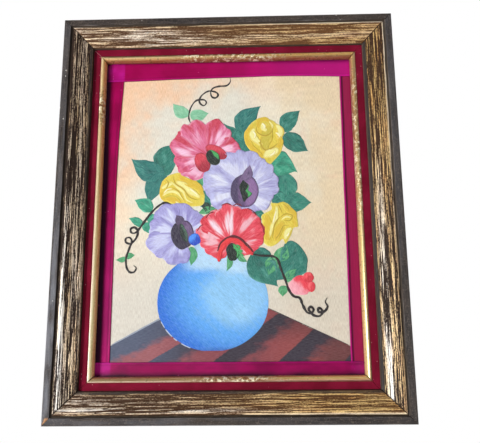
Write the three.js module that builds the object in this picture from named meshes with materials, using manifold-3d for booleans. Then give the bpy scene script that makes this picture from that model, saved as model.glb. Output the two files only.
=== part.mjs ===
// A framed oil painting, front towards -Y and back towards +Y, hung from a plate on its top rail.
//
// Four mitred moulding lengths hold a velvet-faced liner of four more. Behind the liner's sight
// edge four flat ribbon strips lie around the margins of a canvas panel.
// Millimetres, +Z up. The origin is the middle of the flat back of the hanger plate.

import * as THREE from 'three';
import { mergeVertices } from 'three/addons/utils/BufferGeometryUtils.js';
import Module from 'manifold-3d';

// ---------------------------------------------------------------- driving dimensions

const FRAME_WIDTH = 526;
const FRAME_HEIGHT = 628;
const FRAME_DEPTH = 40;
const CONTACT_GAP = 0.3; // between neighbouring pieces
const MITRE_GAP = 0.3;

// Moulding section: "in" is the distance in from the outer edge, "deep" the depth behind the front.
const OUTER_EDGE_RADIUS = 2;
const BAND_WIDTH = 10.8; // flat dark band
const GROOVE_DEEP = 3;
const GROOVE_END_IN = 13.2;
const SHOULDER_CREST_IN = 17; // rounded shoulder of the gilded face
const SHOULDER_END_IN = 22.5;
const SHOULDER_END_DEEP = 1.4;
const FACE_END_IN = 43.8; // inner end of the gilded slope
const FACE_END_DEEP = 9.4;
const LIP_IN = 46.8; // sight edge of the moulding
const LIP_DEEP = 15.4;
const REBATE_IN = 40.1;

// Liner section, with its gilded bead.
const VELVET_THICKNESS = 1;
const VELVET_END_IN = 57.7;
const BEAD_CREST_IN = 60;
const BEAD_CREST_DEEP = 15.2;
const SIGHT_IN = 66; // sight edge of the liner
const BEAD_FOOT_DEEP = 24.4;
const LINER_LIP_DEEP = 27;
const LINER_REBATE_IN = 59.5;
const LINER_BACK_DEEP = 36.5;

// Canvas panel, and the ribbon strips on its margins.
const PANEL_THICKNESS = 3.2;
const RIBBON_THICKNESS = 0.8; // of a strip where it crosses another
const STRIP_THICKNESS = 2; // of a strip on its card
const CARD_CLEARANCE = 0.6; // between a level strip's card and the upright strips
// Each strip's inner edge wanders a little: [place along the strip, distance from the frame's
// outer edge], from its left end to its right or from its foot to its head.
const TOP_STRIP = [
  [-203.2, 97.5], [-150, 96.5], [-100, 94.7], [0, 92.8], [80, 91.5], [125, 92.3], [203.2, 94.6],
];
const BOTTOM_STRIP = [[-203.2, 86.1], [203.2, 85.6]];
const LEFT_STRIP = [[-254.2, 86.8], [60, 87.4], [120, 88.9], [254.2, 95.6]];
const RIGHT_STRIP = [[-254.2, 85.1], [254.2, 82.6]];

// Hanger plate: two nailed tabs with a raised bridge between them, toothed below.
const BRIDGE_LENGTH = 34;
const BRIDGE_RISE = 2.6; // from the rail's back to the bridge's flat back
const PLATE_THICKNESS = 0.9;
const PLATE_HEIGHT = 11;
const RAMP_LENGTH = 3;
const TAB_LENGTH = 8;
const TOOTH_PITCH = 3.4;
const TOOTH_HEIGHT = 2;
const NAIL_RADIUS = 0.7;
const NAIL_HEAD_RADIUS = 1.8;
const NAIL_HEAD_HEIGHT = 0.7;
const NAIL_LENGTH = 10;

// ---------------------------------------------------------------- worked out from those

const FRONT_Y = -(BRIDGE_RISE + FRAME_DEPTH); // the plane of the frame's front
const RAIL_BACK_Y = -BRIDGE_RISE;
const HANGER_BELOW_TOP = REBATE_IN / 2;
const CENTRE_Z = HANGER_BELOW_TOP - FRAME_HEIGHT / 2; // the middle of the picture
const VELVET_DEEP = LIP_DEEP + CONTACT_GAP;
const LINER_FACE_DEEP = VELVET_DEEP + VELVET_THICKNESS + CONTACT_GAP;
const LINER_IN = REBATE_IN + CONTACT_GAP;
const STRIP_DEEP = LINER_LIP_DEEP + CONTACT_GAP;
const PANEL_DEEP = STRIP_DEEP + STRIP_THICKNESS + CONTACT_GAP;
const PANEL_IN = LINER_REBATE_IN + CONTACT_GAP;
const UNDER_STRIP_DEEP = STRIP_DEEP + RIBBON_THICKNESS + CONTACT_GAP;
const NAIL_X = BRIDGE_LENGTH / 2 + RAMP_LENGTH + TAB_LENGTH / 2;

// ---------------------------------------------------------------- materials

function material(color, roughness, metalness = 0) {
  return new THREE.MeshStandardMaterial({ color, roughness, metalness });
}

const MATERIALS = {
  moulding: material(0x8a7350, 0.42, 0.5),
  liner: material(0xc9a56a, 0.4, 0.5),
  velvet: material(0x6e1628, 0.95),
  ribbon: material(0x9c1d5a, 0.35),
  panel: material(0xd9cdb4, 0.7),
  hanger: material(0xb08d4c, 0.35, 0.9),
  nail: material(0x8f8a80, 0.35, 0.9),
};

// ---------------------------------------------------------------- shape helpers

/** The end of a length nearest the observer's left (0) or right (1) of an extrusion one unit deep. */
const isFarEnd = (z) => z > 0.5;

/**
 * A section drawn as (in, deep), run along X with both ends cut at 45 degrees.
 * A point that is "in" from the outer edge ends at x = +-(outerLength / 2 - in - gap), so two
 * lengths at a corner meet face to face with MITRE_GAP between them.
 */
function mitredLength(section, outerLength) {
  const geometry = new THREE.ExtrudeGeometry(section, { depth: 1, bevelEnabled: false, curveSegments: 8 });
  const position = geometry.attributes.position;
  const endGap = MITRE_GAP / Math.SQRT2;
  for (let i = 0; i < position.count; i += 1) {
    const halfLength = outerLength / 2 - position.getX(i) - endGap;
    position.setZ(i, isFarEnd(position.getZ(i)) ? halfLength : -halfLength);
  }
  const inToDown = new THREE.Vector3(0, 0, -1);
  const deepToBack = new THREE.Vector3(0, 1, 0);
  const alongX = new THREE.Vector3(1, 0, 0);
  return geometry.applyMatrix4(new THREE.Matrix4().makeBasis(inToDown, deepToBack, alongX));
}

/** An outline in the picture's plane, drawn as (x, z) points, made solid between two depths. */
function slab(points, deepFront, deepBack) {
  const outline = new THREE.Shape(points.map(([x, z]) => new THREE.Vector2(x, z)));
  const geometry = new THREE.ExtrudeGeometry(outline, { depth: deepBack - deepFront, bevelEnabled: false });
  return geometry.rotateX(Math.PI / 2).translate(0, deepBack, 0);
}

const manifoldLibrary = await Module();
manifoldLibrary.setup();

/** A closed three.js geometry as a manifold solid. */
function toSolid(geometry) {
  const bare = geometry.clone();
  bare.deleteAttribute('normal');
  bare.deleteAttribute('uv');
  const merged = mergeVertices(bare, 1e-4);
  return new manifoldLibrary.Manifold(new manifoldLibrary.Mesh({
    numProp: 3,
    vertProperties: new Float32Array(merged.attributes.position.array),
    triVerts: new Uint32Array(merged.index.array),
  }));
}

/** A manifold solid as a three.js geometry. */
function toGeometry(solid) {
  const mesh = solid.getMesh();
  const geometry = new THREE.BufferGeometry();
  geometry.setAttribute('position', new THREE.BufferAttribute(mesh.vertProperties, 3));
  geometry.setIndex(new THREE.BufferAttribute(mesh.triVerts, 1));
  return geometry;
}

/** The first geometry with each of the others cut from it. */
function cut(geometry, tools) {
  return toGeometry(tools.reduce((solid, tool) => solid.subtract(toSolid(tool)), toSolid(geometry)));
}

function named(name, geometry, meshMaterial) {
  const mesh = new THREE.Mesh(geometry, meshMaterial);
  mesh.name = name;
  return mesh;
}

// ---------------------------------------------------------------- sections

/** Dark band, groove, rounded shoulder, sloping gilded face and steep inner lip, with a rebate. */
function mouldingSection() {
  const shape = new THREE.Shape();
  shape.moveTo(0, FRAME_DEPTH);
  shape.lineTo(0, OUTER_EDGE_RADIUS);
  shape.quadraticCurveTo(0, 0, OUTER_EDGE_RADIUS, 0);
  shape.lineTo(BAND_WIDTH - 1, 0);
  shape.quadraticCurveTo(BAND_WIDTH, 0, BAND_WIDTH, 1);
  shape.lineTo(BAND_WIDTH + 0.5, GROOVE_DEEP);
  shape.lineTo(GROOVE_END_IN, GROOVE_DEEP);
  shape.lineTo(GROOVE_END_IN + 0.4, 1.9);
  shape.quadraticCurveTo(GROOVE_END_IN + 0.9, 0, SHOULDER_CREST_IN, 0);
  shape.quadraticCurveTo(SHOULDER_END_IN - 1.5, 0, SHOULDER_END_IN, SHOULDER_END_DEEP);
  shape.quadraticCurveTo((SHOULDER_END_IN + FACE_END_IN) / 2, 6.2, FACE_END_IN, FACE_END_DEEP);
  shape.quadraticCurveTo(FACE_END_IN + 1.6, FACE_END_DEEP + 0.6, FACE_END_IN + 2, FACE_END_DEEP + 2);
  shape.lineTo(LIP_IN, LIP_DEEP);
  shape.lineTo(REBATE_IN, LIP_DEEP);
  shape.lineTo(REBATE_IN, FRAME_DEPTH);
  shape.closePath();
  return shape;
}

/** Flat front that carries the velvet, then a bead that falls to the sight edge, with a rebate. */
function linerSection() {
  const beadStart = VELVET_END_IN + CONTACT_GAP;
  const shape = new THREE.Shape();
  shape.moveTo(LINER_IN, LINER_BACK_DEEP);
  shape.lineTo(LINER_IN, LINER_FACE_DEEP);
  shape.lineTo(beadStart, LINER_FACE_DEEP);
  shape.lineTo(beadStart, VELVET_DEEP + 0.2);
  shape.quadraticCurveTo(beadStart + 0.4, BEAD_CREST_DEEP, BEAD_CREST_IN, BEAD_CREST_DEEP);
  shape.quadraticCurveTo(SIGHT_IN - 1, BEAD_CREST_DEEP + 1, SIGHT_IN, BEAD_FOOT_DEEP);
  shape.lineTo(SIGHT_IN, LINER_LIP_DEEP);
  shape.lineTo(LINER_REBATE_IN, LINER_LIP_DEEP);
  shape.lineTo(LINER_REBATE_IN, LINER_BACK_DEEP);
  shape.closePath();
  return shape;
}

/** A thin strip of cloth on the liner's flat. */
function velvetSection() {
  const shape = new THREE.Shape();
  shape.moveTo(LINER_IN, VELVET_DEEP + VELVET_THICKNESS);
  shape.lineTo(LINER_IN, VELVET_DEEP);
  shape.lineTo(VELVET_END_IN, VELVET_DEEP);
  shape.lineTo(VELVET_END_IN, VELVET_DEEP + VELVET_THICKNESS);
  shape.closePath();
  return shape;
}

// ---------------------------------------------------------------- frame and liner

const SIDES = [
  { name: 'top', turn: 0, outerLength: FRAME_WIDTH, toOuterEdge: FRAME_HEIGHT / 2 },
  { name: 'right', turn: Math.PI / 2, outerLength: FRAME_HEIGHT, toOuterEdge: FRAME_WIDTH / 2 },
  { name: 'bottom', turn: Math.PI, outerLength: FRAME_WIDTH, toOuterEdge: FRAME_HEIGHT / 2 },
  { name: 'left', turn: -Math.PI / 2, outerLength: FRAME_HEIGHT, toOuterEdge: FRAME_WIDTH / 2 },
];

/** A hole for each of the hanger's nails, in the local axes of the top length. */
function nailHoles() {
  const localZ = FRAME_HEIGHT / 2 - HANGER_BELOW_TOP;
  return [-NAIL_X, NAIL_X].map((x) => {
    const hole = new THREE.CylinderGeometry(NAIL_RADIUS + CONTACT_GAP, NAIL_RADIUS + CONTACT_GAP, NAIL_LENGTH * 2, 12);
    return hole.translate(x, FRAME_DEPTH, localZ);
  });
}

/** The moulding, liner and velvet of one side, turned about the middle of the picture. */
function frameSide({ name, turn, outerLength, toOuterEdge }) {
  const side = new THREE.Group();
  const length = (section) => mitredLength(section, outerLength).translate(0, 0, toOuterEdge);
  const moulding = length(mouldingSection());
  side.add(
    named(`frame_${name}`, name === 'top' ? cut(moulding, nailHoles()) : moulding, MATERIALS.moulding),
    named(`liner_${name}`, length(linerSection()), MATERIALS.liner),
    named(`velvet_${name}`, length(velvetSection()), MATERIALS.velvet),
  );
  side.rotation.y = turn;
  return side;
}

// ---------------------------------------------------------------- ribbon strips and panel

/** How far in a strip reaches at a place along it, between its two nearest stations. */
function reachAt(strip, along) {
  const next = Math.max(1, strip.findIndex(([place]) => place >= along));
  const [[placeA, reachA], [placeB, reachB]] = strip.slice(next - 1, next + 1);
  return THREE.MathUtils.mapLinear(along, placeA, placeB, reachA, reachB);
}

/** The stations of a strip that lie between two places, with the two places themselves. */
function stationsBetween(strip, from, to) {
  const within = strip.map(([place]) => place).filter((place) => place > from && place < to);
  return [from, ...within, to];
}

/** One upright strip, from the panel's edge to its inner edge. "side" is -1 left and 1 right. */
function uprightStrip(side, strip) {
  const outer = FRAME_WIDTH / 2 - PANEL_IN;
  const end = FRAME_HEIGHT / 2 - PANEL_IN;
  const inner = stationsBetween(strip, -end, end)
    .map((z) => [side * (FRAME_WIDTH / 2 - reachAt(strip, z)), z]);
  const points = [[side * outer, -end], ...inner, [side * outer, end]];
  const outline = side < 0 ? points : points.reverse();
  return slab(outline, UNDER_STRIP_DEEP, STRIP_DEEP + STRIP_THICKNESS);
}

/**
 * One level strip: thin where its ends cross the upright strips, and on its card between them.
 * "side" is 1 at the top and -1 at the bottom.
 */
function levelStrip(side, strip) {
  const outerX = FRAME_WIDTH / 2 - PANEL_IN;
  const outerZ = side * (FRAME_HEIGHT / 2 - PANEL_IN);
  const innerZ = (x) => side * (FRAME_HEIGHT / 2 - reachAt(strip, x));
  const outline = (left, right) => {
    const inner = stationsBetween(strip, left, right).map((x) => [x, innerZ(x)]);
    const points = [...inner, [right, outerZ], [left, outerZ]];
    return side > 0 ? points : points.reverse();
  };
  const clearOf = (upright) => {
    const reach = Math.max(reachAt(upright, outerZ), reachAt(upright, innerZ(0)));
    return FRAME_WIDTH / 2 - reach - CARD_CLEARANCE;
  };
  const thin = slab(outline(-outerX, outerX), STRIP_DEEP, STRIP_DEEP + RIBBON_THICKNESS);
  const card = slab(
    outline(-clearOf(LEFT_STRIP), clearOf(RIGHT_STRIP)),
    STRIP_DEEP + RIBBON_THICKNESS / 2,
    STRIP_DEEP + STRIP_THICKNESS,
  );
  return toGeometry(toSolid(thin).add(toSolid(card)));
}

function canvasPanel() {
  const halfWidth = FRAME_WIDTH / 2 - PANEL_IN;
  const halfHeight = FRAME_HEIGHT / 2 - PANEL_IN;
  const corners = [
    [-halfWidth, -halfHeight],
    [halfWidth, -halfHeight],
    [halfWidth, halfHeight],
    [-halfWidth, halfHeight],
  ];
  return slab(corners, PANEL_DEEP, PANEL_DEEP + PANEL_THICKNESS);
}

// ---------------------------------------------------------------- hanger

/** Bent strip seen from above, with Y back from the rail: tab, ramp, bridge, ramp, tab. */
function hangerPlate() {
  const tabBack = RAIL_BACK_Y + CONTACT_GAP + PLATE_THICKNESS;
  const bridge = BRIDGE_LENGTH / 2;
  const ramp = bridge + RAMP_LENGTH;
  const tab = ramp + TAB_LENGTH;
  const half = [[tab, tabBack], [ramp, tabBack], [bridge, 0]];
  const back = [...half, ...half.slice().reverse().map(([x, y]) => [-x, y])];
  const front = back.slice().reverse().map(([x, y]) => [x, y - PLATE_THICKNESS]);
  const outline = new THREE.Shape([...back, ...front].map(([x, y]) => new THREE.Vector2(x, y)));
  const plate = new THREE.ExtrudeGeometry(outline, { depth: PLATE_HEIGHT, bevelEnabled: false });
  plate.translate(0, 0, -PLATE_HEIGHT / 2);
  const holes = [-NAIL_X, NAIL_X].map((x) => (
    new THREE.CylinderGeometry(NAIL_RADIUS + CONTACT_GAP, NAIL_RADIUS + CONTACT_GAP, 20, 12).translate(x, 0, 0)
  ));
  return cut(plate, [...toothGaps(), ...holes]);
}

/** The notches between the teeth along the bridge's lower edge. */
function toothGaps() {
  const count = Math.floor(BRIDGE_LENGTH / TOOTH_PITCH) - 1;
  return Array.from({ length: count }, (_, i) => {
    const middle = (i - (count - 1) / 2) * TOOTH_PITCH;
    const foot = -PLATE_HEIGHT / 2;
    const notch = new THREE.Shape([
      new THREE.Vector2(middle - TOOTH_PITCH / 2 + 0.3, foot - 1),
      new THREE.Vector2(middle + TOOTH_PITCH / 2 - 0.3, foot - 1),
      new THREE.Vector2(middle, foot + TOOTH_HEIGHT),
    ]);
    const gap = new THREE.ExtrudeGeometry(notch, { depth: 20, bevelEnabled: false });
    return gap.rotateX(Math.PI / 2).translate(0, 10, 0);
  });
}

/** A nail through a tab into the rail, its domed head on the tab. */
function nail(x) {
  const headFoot = RAIL_BACK_Y + CONTACT_GAP + PLATE_THICKNESS + 0.1;
  const profile = [
    [0, headFoot - NAIL_LENGTH],
    [NAIL_RADIUS, headFoot - NAIL_LENGTH + 1.5],
    [NAIL_RADIUS, headFoot],
    [NAIL_HEAD_RADIUS, headFoot],
    [NAIL_HEAD_RADIUS * 0.7, headFoot + NAIL_HEAD_HEIGHT * 0.8],
    [0, headFoot + NAIL_HEAD_HEIGHT],
  ];
  const points = profile.map(([radius, y]) => new THREE.Vector2(radius, y));
  return new THREE.LatheGeometry(points, 12).translate(x, 0, 0);
}

// ---------------------------------------------------------------- the part

const picture = new THREE.Group();
picture.position.set(0, FRONT_Y, CENTRE_Z);
SIDES.forEach((side) => picture.add(frameSide(side)));
picture.add(
  named('ribbon_left', uprightStrip(-1, LEFT_STRIP), MATERIALS.ribbon),
  named('ribbon_right', uprightStrip(1, RIGHT_STRIP), MATERIALS.ribbon),
  named('ribbon_top', levelStrip(1, TOP_STRIP), MATERIALS.ribbon),
  named('ribbon_bottom', levelStrip(-1, BOTTOM_STRIP), MATERIALS.ribbon),
  named('canvas_panel', canvasPanel(), MATERIALS.panel),
);

const hanger = new THREE.Group();
hanger.add(
  named('hanger_plate', hangerPlate(), MATERIALS.hanger),
  named('hanger_nail_left', nail(-NAIL_X), MATERIALS.nail),
  named('hanger_nail_right', nail(NAIL_X), MATERIALS.nail),
);

const framedPainting = new THREE.Group();
framedPainting.add(picture, hanger);

export default framedPainting;
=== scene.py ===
"""A framed oil painting of flowers: streaked gilded moulding, velvet liner with a leafed bead,
satin ribbon strips and a canvas panel whose paint lies on it in films of its own."""

import math

import bpy
import numpy as np
from mathutils import Matrix, Vector


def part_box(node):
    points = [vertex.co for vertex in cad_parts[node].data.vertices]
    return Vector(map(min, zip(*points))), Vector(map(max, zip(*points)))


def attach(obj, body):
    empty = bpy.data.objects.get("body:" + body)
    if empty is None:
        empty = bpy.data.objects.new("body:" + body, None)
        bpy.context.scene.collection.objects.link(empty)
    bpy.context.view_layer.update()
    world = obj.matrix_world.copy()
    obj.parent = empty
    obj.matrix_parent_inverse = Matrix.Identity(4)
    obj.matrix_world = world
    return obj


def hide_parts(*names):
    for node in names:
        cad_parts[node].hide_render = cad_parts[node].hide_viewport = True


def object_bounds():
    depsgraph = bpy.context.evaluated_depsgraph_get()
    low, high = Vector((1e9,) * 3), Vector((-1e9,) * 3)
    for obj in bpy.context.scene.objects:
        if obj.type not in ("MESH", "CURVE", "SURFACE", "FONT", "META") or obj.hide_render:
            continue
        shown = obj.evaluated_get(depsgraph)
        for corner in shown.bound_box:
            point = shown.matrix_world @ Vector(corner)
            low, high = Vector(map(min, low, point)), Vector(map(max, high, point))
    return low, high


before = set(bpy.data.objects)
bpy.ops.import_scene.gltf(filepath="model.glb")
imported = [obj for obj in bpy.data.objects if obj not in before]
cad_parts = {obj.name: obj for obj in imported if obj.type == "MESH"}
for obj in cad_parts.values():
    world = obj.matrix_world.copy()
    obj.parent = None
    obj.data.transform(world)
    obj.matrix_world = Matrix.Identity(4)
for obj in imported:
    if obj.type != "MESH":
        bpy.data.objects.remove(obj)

cad_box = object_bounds()

# ------------------------------------------------------------------ places, from the frame

MM = 0.001
LOW, HIGH = (np.array(corner) / MM for corner in cad_box)
FRAME_WIDTH = HIGH[0] - LOW[0]
FRAME_HEIGHT = HIGH[2] - LOW[2]
FRONT = LOW[1]  # Y of the frame's front, in millimetres
CENTRE_Z = (LOW[2] + HIGH[2]) / 2


def node_box(node):
    """A CAD node's lowest and highest corners, in millimetres."""
    return tuple(np.array(corner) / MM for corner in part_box(node))


def deep(node, end):
    """How far the front (0) or back (1) of a node lies behind the front of the frame."""
    return node_box(node)[end][1] - FRONT


FRAME_DEPTH = deep("frame_top", 1)
LIP_IN = FRAME_HEIGHT / 2 - (node_box("frame_top")[0][2] - CENTRE_Z)
VELVET_DEEP = deep("velvet_top", 0)
SIGHT_IN = FRAME_HEIGHT / 2 - (node_box("liner_top")[0][2] - CENTRE_Z)
LINER_IN = FRAME_HEIGHT / 2 - (node_box("liner_top")[1][2] - CENTRE_Z)
LINER_BACK_DEEP = deep("liner_top", 1)
STRIP_DEEP = deep("ribbon_top", 0)
UNDER_STRIP_DEEP = deep("ribbon_left", 0)
PANEL_DEEP = deep("canvas_panel", 0)
PANEL_HIGH = node_box("canvas_panel")[1]
GAP = PANEL_DEEP - deep("ribbon_top", 1)  # between neighbouring pieces
MITRE_END_GAP = GAP / math.sqrt(2)

# ------------------------------------------------------------------ numbers and fields


def smooth(value, low, high):
    """0 below low, 1 above high, and 3t^2 - 2t^3 between."""
    t = np.clip((value - low) / (high - low), 0, 1)
    return t * t * (3 - 2 * t)


def field(x, y, seed, octaves=3):
    """Smooth random field from about -1 to 1: octaves of lattice values, each blended over its
    cell with 3t^2 - 2t^3, at twice the pitch and half the strength of the one before."""
    x, y = np.broadcast_arrays(np.asarray(x, float), np.asarray(y, float))
    table = np.random.default_rng(seed).uniform(-1, 1, (512, 512))
    total = np.zeros(x.shape)
    for octave in range(octaves):
        px, py = x * 2**octave + 17.3 * octave, y * 2**octave + 9.1 * octave
        ix, iy = np.floor(px).astype(int), np.floor(py).astype(int)
        tx, ty = px - ix, py - iy
        tx, ty = tx * tx * (3 - 2 * tx), ty * ty * (3 - 2 * ty)
        ix, iy, jx, jy = ix % 512, iy % 512, (ix + 1) % 512, (iy + 1) % 512
        near = table[ix, iy] * (1 - tx) + table[jx, iy] * tx
        far = table[ix, jy] * (1 - tx) + table[jx, jy] * tx
        total += (near * (1 - ty) + far * ty) / 2**octave
    return total / 1.4


def rgb(red, green, blue):
    """A screen colour from 0 to 255, as linear light."""
    c = np.array([red, green, blue]) / 255.0
    return np.where(c <= 0.04045, c / 12.92, ((c + 0.055) / 1.055) ** 2.4)


def rgba(red, green, blue):
    """The same with full cover, as a colour socket takes it."""
    return (*rgb(red, green, blue), 1.0)


def mixed(a, b, share):
    """Colours a and b blended by a share for each point."""
    share = np.asarray(share)[..., None]
    return a * (1 - share) + b * share


# ------------------------------------------------------------------ meshes


def grid_faces(rows, columns, round_rows=False):
    """Quads of a grid numbered row by row, with the last row joined to the first if asked."""
    row = np.arange(rows if round_rows else rows - 1)[:, None]
    column = np.arange(columns - 1)[None, :]
    a = row * columns + column
    b = (row + 1) % rows * columns + column
    return np.stack([a, a + 1, b + 1, b], axis=-1).reshape(-1, 4)


def band_faces(rows, columns, flip=False):
    """Quads of a closed band, whose last row joins its first, and its two end faces."""
    first = np.arange(rows) * columns
    quads, caps = grid_faces(rows, columns, round_rows=True), [first, (first + columns - 1)[::-1]]
    if flip:
        return quads[:, ::-1], [cap[::-1] for cap in caps]
    return quads, caps


def fill(layer, key, values, kind=np.float32):
    """Puts a whole array into a mesh layer."""
    layer.foreach_set(key, np.asarray(values, kind).ravel())


def make_piece(name, points, quads, caps, uv, materials, zones=None, colour=None, values=None):
    """A mesh object from points in millimetres, quads and flat closing polygons, with a UV in
    millimetres for each point, a material index for each quad, and a colour and named values
    for each point."""
    mesh = bpy.data.meshes.new(name)
    counts = [4] * len(quads) + [len(cap) for cap in caps]
    loops = np.concatenate([quads.ravel(), *[np.asarray(cap) for cap in caps]])
    index = np.zeros(len(counts))
    if zones is not None:
        index[: len(quads)] = zones
    mesh.vertices.add(len(points))
    mesh.loops.add(len(loops))
    mesh.polygons.add(len(counts))
    fill(mesh.vertices, "co", points * MM)
    fill(mesh.loops, "vertex_index", loops, np.int32)
    fill(mesh.polygons, "loop_start", np.concatenate([[0], np.cumsum(counts)[:-1]]), np.int32)
    fill(mesh.polygons, "material_index", index, np.int32)
    fill(mesh.polygons, "use_smooth", np.arange(len(counts)) < len(quads), bool)
    fill(mesh.uv_layers.new(name="UVMap").data, "uv", uv[loops] * MM)
    if colour is not None:
        four = np.concatenate([np.clip(colour, 0, 1), np.ones((len(colour), 1))], axis=1)
        fill(mesh.color_attributes.new("paint", "FLOAT_COLOR", "POINT").data, "color", four)
    for key, value in (values or {}).items():
        fill(mesh.attributes.new(key, "FLOAT", "POINT").data, "value", value)
    mesh.update(calc_edges=True)
    mesh.validate()
    piece = bpy.data.objects.new(name, mesh)
    bpy.context.scene.collection.objects.link(piece)
    for material in materials:
        mesh.materials.append(material)
    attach(piece, "root")
    return piece


# ------------------------------------------------------------------ node trees


class Shading:
    """A shader node tree that is being built."""

    def __init__(self, tree):
        self.tree = tree

    def add(self, kind, inputs=None, **settings):
        """A node, with its settings made and each named input linked or set."""
        node = self.tree.nodes.new("ShaderNode" + kind)
        for key, value in settings.items():
            setattr(node, key, value)
        for key, value in (inputs or {}).items():
            if isinstance(value, bpy.types.NodeSocket):
                self.tree.links.new(value, node.inputs[key])
            else:
                node.inputs[key].default_value = value
        return node

    def math(self, operation, a, b=0.0):
        return self.add("Math", {0: a, 1: b}, operation=operation).outputs[0]

    def times(self, a, b):
        return self.math("MULTIPLY", a, b)

    def plus(self, a, b):
        return self.math("ADD", a, b)

    def minus(self, a, b):
        return self.math("SUBTRACT", a, b)

    def vector(self, operation, a, b):
        return self.add("VectorMath", {0: a, 1: b}, operation=operation).outputs[0]

    def mix(self, share, a, b, blend="MIX"):
        inputs = {0: share, 6: a, 7: b}
        return self.add("Mix", inputs, data_type="RGBA", blend_type=blend).outputs[2]

    def layers(self, tone, *over):
        """A tone with each (share, colour) laid over it in turn."""
        for share, colour in over:
            tone = self.mix(share, tone, colour)
        return tone

    def step(self, value, low, high, to_low=0.0, to_high=1.0):
        """A smooth step of the value from low to high."""
        inputs = {0: value, 1: low, 2: high, 3: to_low, 4: to_high}
        return self.add("MapRange", inputs, interpolation_type="SMOOTHSTEP").outputs[0]

    def noise(self, vector, scale, detail=3.0):
        inputs = {"Vector": vector, "Scale": scale, "Detail": detail, "Roughness": 0.55}
        return self.add("TexNoise", inputs).outputs[0]

    def drawn_out(self, across, along, detail):
        """Noise with one scale across a length and another along it."""
        return self.noise(self.vector("MULTIPLY", self.uv(), (across, along, 1.0)), 1.0, detail)

    def place(self):
        return self.add("TexCoord").outputs["Object"]

    def uv(self):
        return self.add("UVMap", uv_map="UVMap").outputs[0]

    def value(self, name):
        return self.add("Attribute", attribute_name=name).outputs["Fac"]

    def paint(self):
        return self.add("Attribute", attribute_name="paint").outputs["Color"]

    def group(self, tree, **inputs):
        """A shared effect, with its own values for this material."""
        return self.add("Group", inputs, node_tree=tree).outputs[0]

    def streaks(self, across, along, vector=None):
        """The shared streaks, along the piece's own length unless another vector is given."""
        vector = self.uv() if vector is None else vector
        return self.group(STREAKS, Vector=vector, Across=across, Along=along)

    def bump(self, height, distance, strength, normal=None):
        inputs = {"Height": height, "Distance": distance, "Strength": strength}
        if normal is not None:
            inputs["Normal"] = normal
        return self.add("Bump", inputs).outputs[0]


def effect_group(name, inputs, output, build):
    """A shader node group with named inputs and one named output, filled in by build(). An
    input with a number is a value with that default, and one with None is a vector."""
    tree = bpy.data.node_groups.new(name, "ShaderNodeTree")
    for key, default in inputs.items():
        kind = "NodeSocketVector" if default is None else "NodeSocketFloat"
        socket = tree.interface.new_socket(name=key, in_out="INPUT", socket_type=kind)
        if default is not None:
            socket.default_value = default
    tree.interface.new_socket(name=output, in_out="OUTPUT", socket_type="NodeSocketFloat")
    start = tree.nodes.new("NodeGroupInput")
    end = tree.nodes.new("NodeGroupOutput")
    result = build(Shading(tree), {key: start.outputs[key] for key in inputs})
    tree.links.new(result, end.inputs[output])
    return tree


def build_streaks(s, given):
    """Noise drawn out along the second part of the vector: fine across, long along."""
    scales = s.add("CombineXYZ", {0: given["Across"], 1: given["Along"], 2: 0.0}).outputs[0]
    return s.step(s.noise(s.vector("MULTIPLY", given["Vector"], scales), 1.0, 4.0), 0.36, 0.64)


def build_weave(s, given):
    """Plain weave: two crossing squared sines, each high where the product of both is positive
    or negative, with the threads led a little askew by noise."""
    astray = s.add("TexNoise", {"Vector": given["Vector"], "Scale": 60.0}).outputs[1]
    led = s.vector("MULTIPLY", astray, (0.0012,) * 3)
    parts = s.add("SeparateXYZ", {0: s.vector("ADD", given["Vector"], led)})
    pitch = s.times(given["Threads"], math.pi)
    warp, weft = (s.math("SINE", s.times(parts.outputs[axis], pitch)) for axis in (0, 2))
    over = s.times(s.times(warp, weft), 0.5)
    warp_height = s.times(s.math("ABSOLUTE", warp), s.plus(over, 0.5))
    weft_height = s.times(s.math("ABSOLUTE", weft), s.minus(0.5, over))
    return s.plus(warp_height, weft_height)


def build_specks(s, given):
    """Round specks, in a random share of the cells of a scattered pattern."""
    cells = s.add("TexVoronoi", {"Vector": given["Vector"], "Scale": given["Scale"]})
    inside = s.math("LESS_THAN", cells.outputs["Distance"], given["Size"])
    chance = s.add("SeparateColor", {0: cells.outputs["Color"]}).outputs[0]
    return s.times(inside, s.math("LESS_THAN", chance, given["Share"]))


STREAKS = effect_group(
    "Long streaks", {"Vector": None, "Across": 900.0, "Along": 30.0}, "Mask", build_streaks
)
WEAVE = effect_group("Canvas weave", {"Vector": None, "Threads": 1000.0}, "Height", build_weave)
SPECKS = effect_group(
    "Scattered specks", {"Vector": None, "Scale": 300.0, "Size": 0.1, "Share": 0.1}, "Mask", build_specks
)

# ------------------------------------------------------------------ materials

THREADS = 1150.0  # of the canvas, in a metre
TURNED_MARGIN = 16  # how far the canvas is turned over on the back, in millimetres


def finish(name, build, *values):
    """A material with one Principled shader, whose inputs build(tree, *values) gives."""
    material = bpy.data.materials.new(name)
    material.use_nodes = True
    material.node_tree.nodes.clear()
    s = Shading(material.node_tree)
    principled = s.add("BsdfPrincipled", build(s, *values))
    s.add("OutputMaterial", {"Surface": principled.outputs[0]})
    return material


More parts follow.
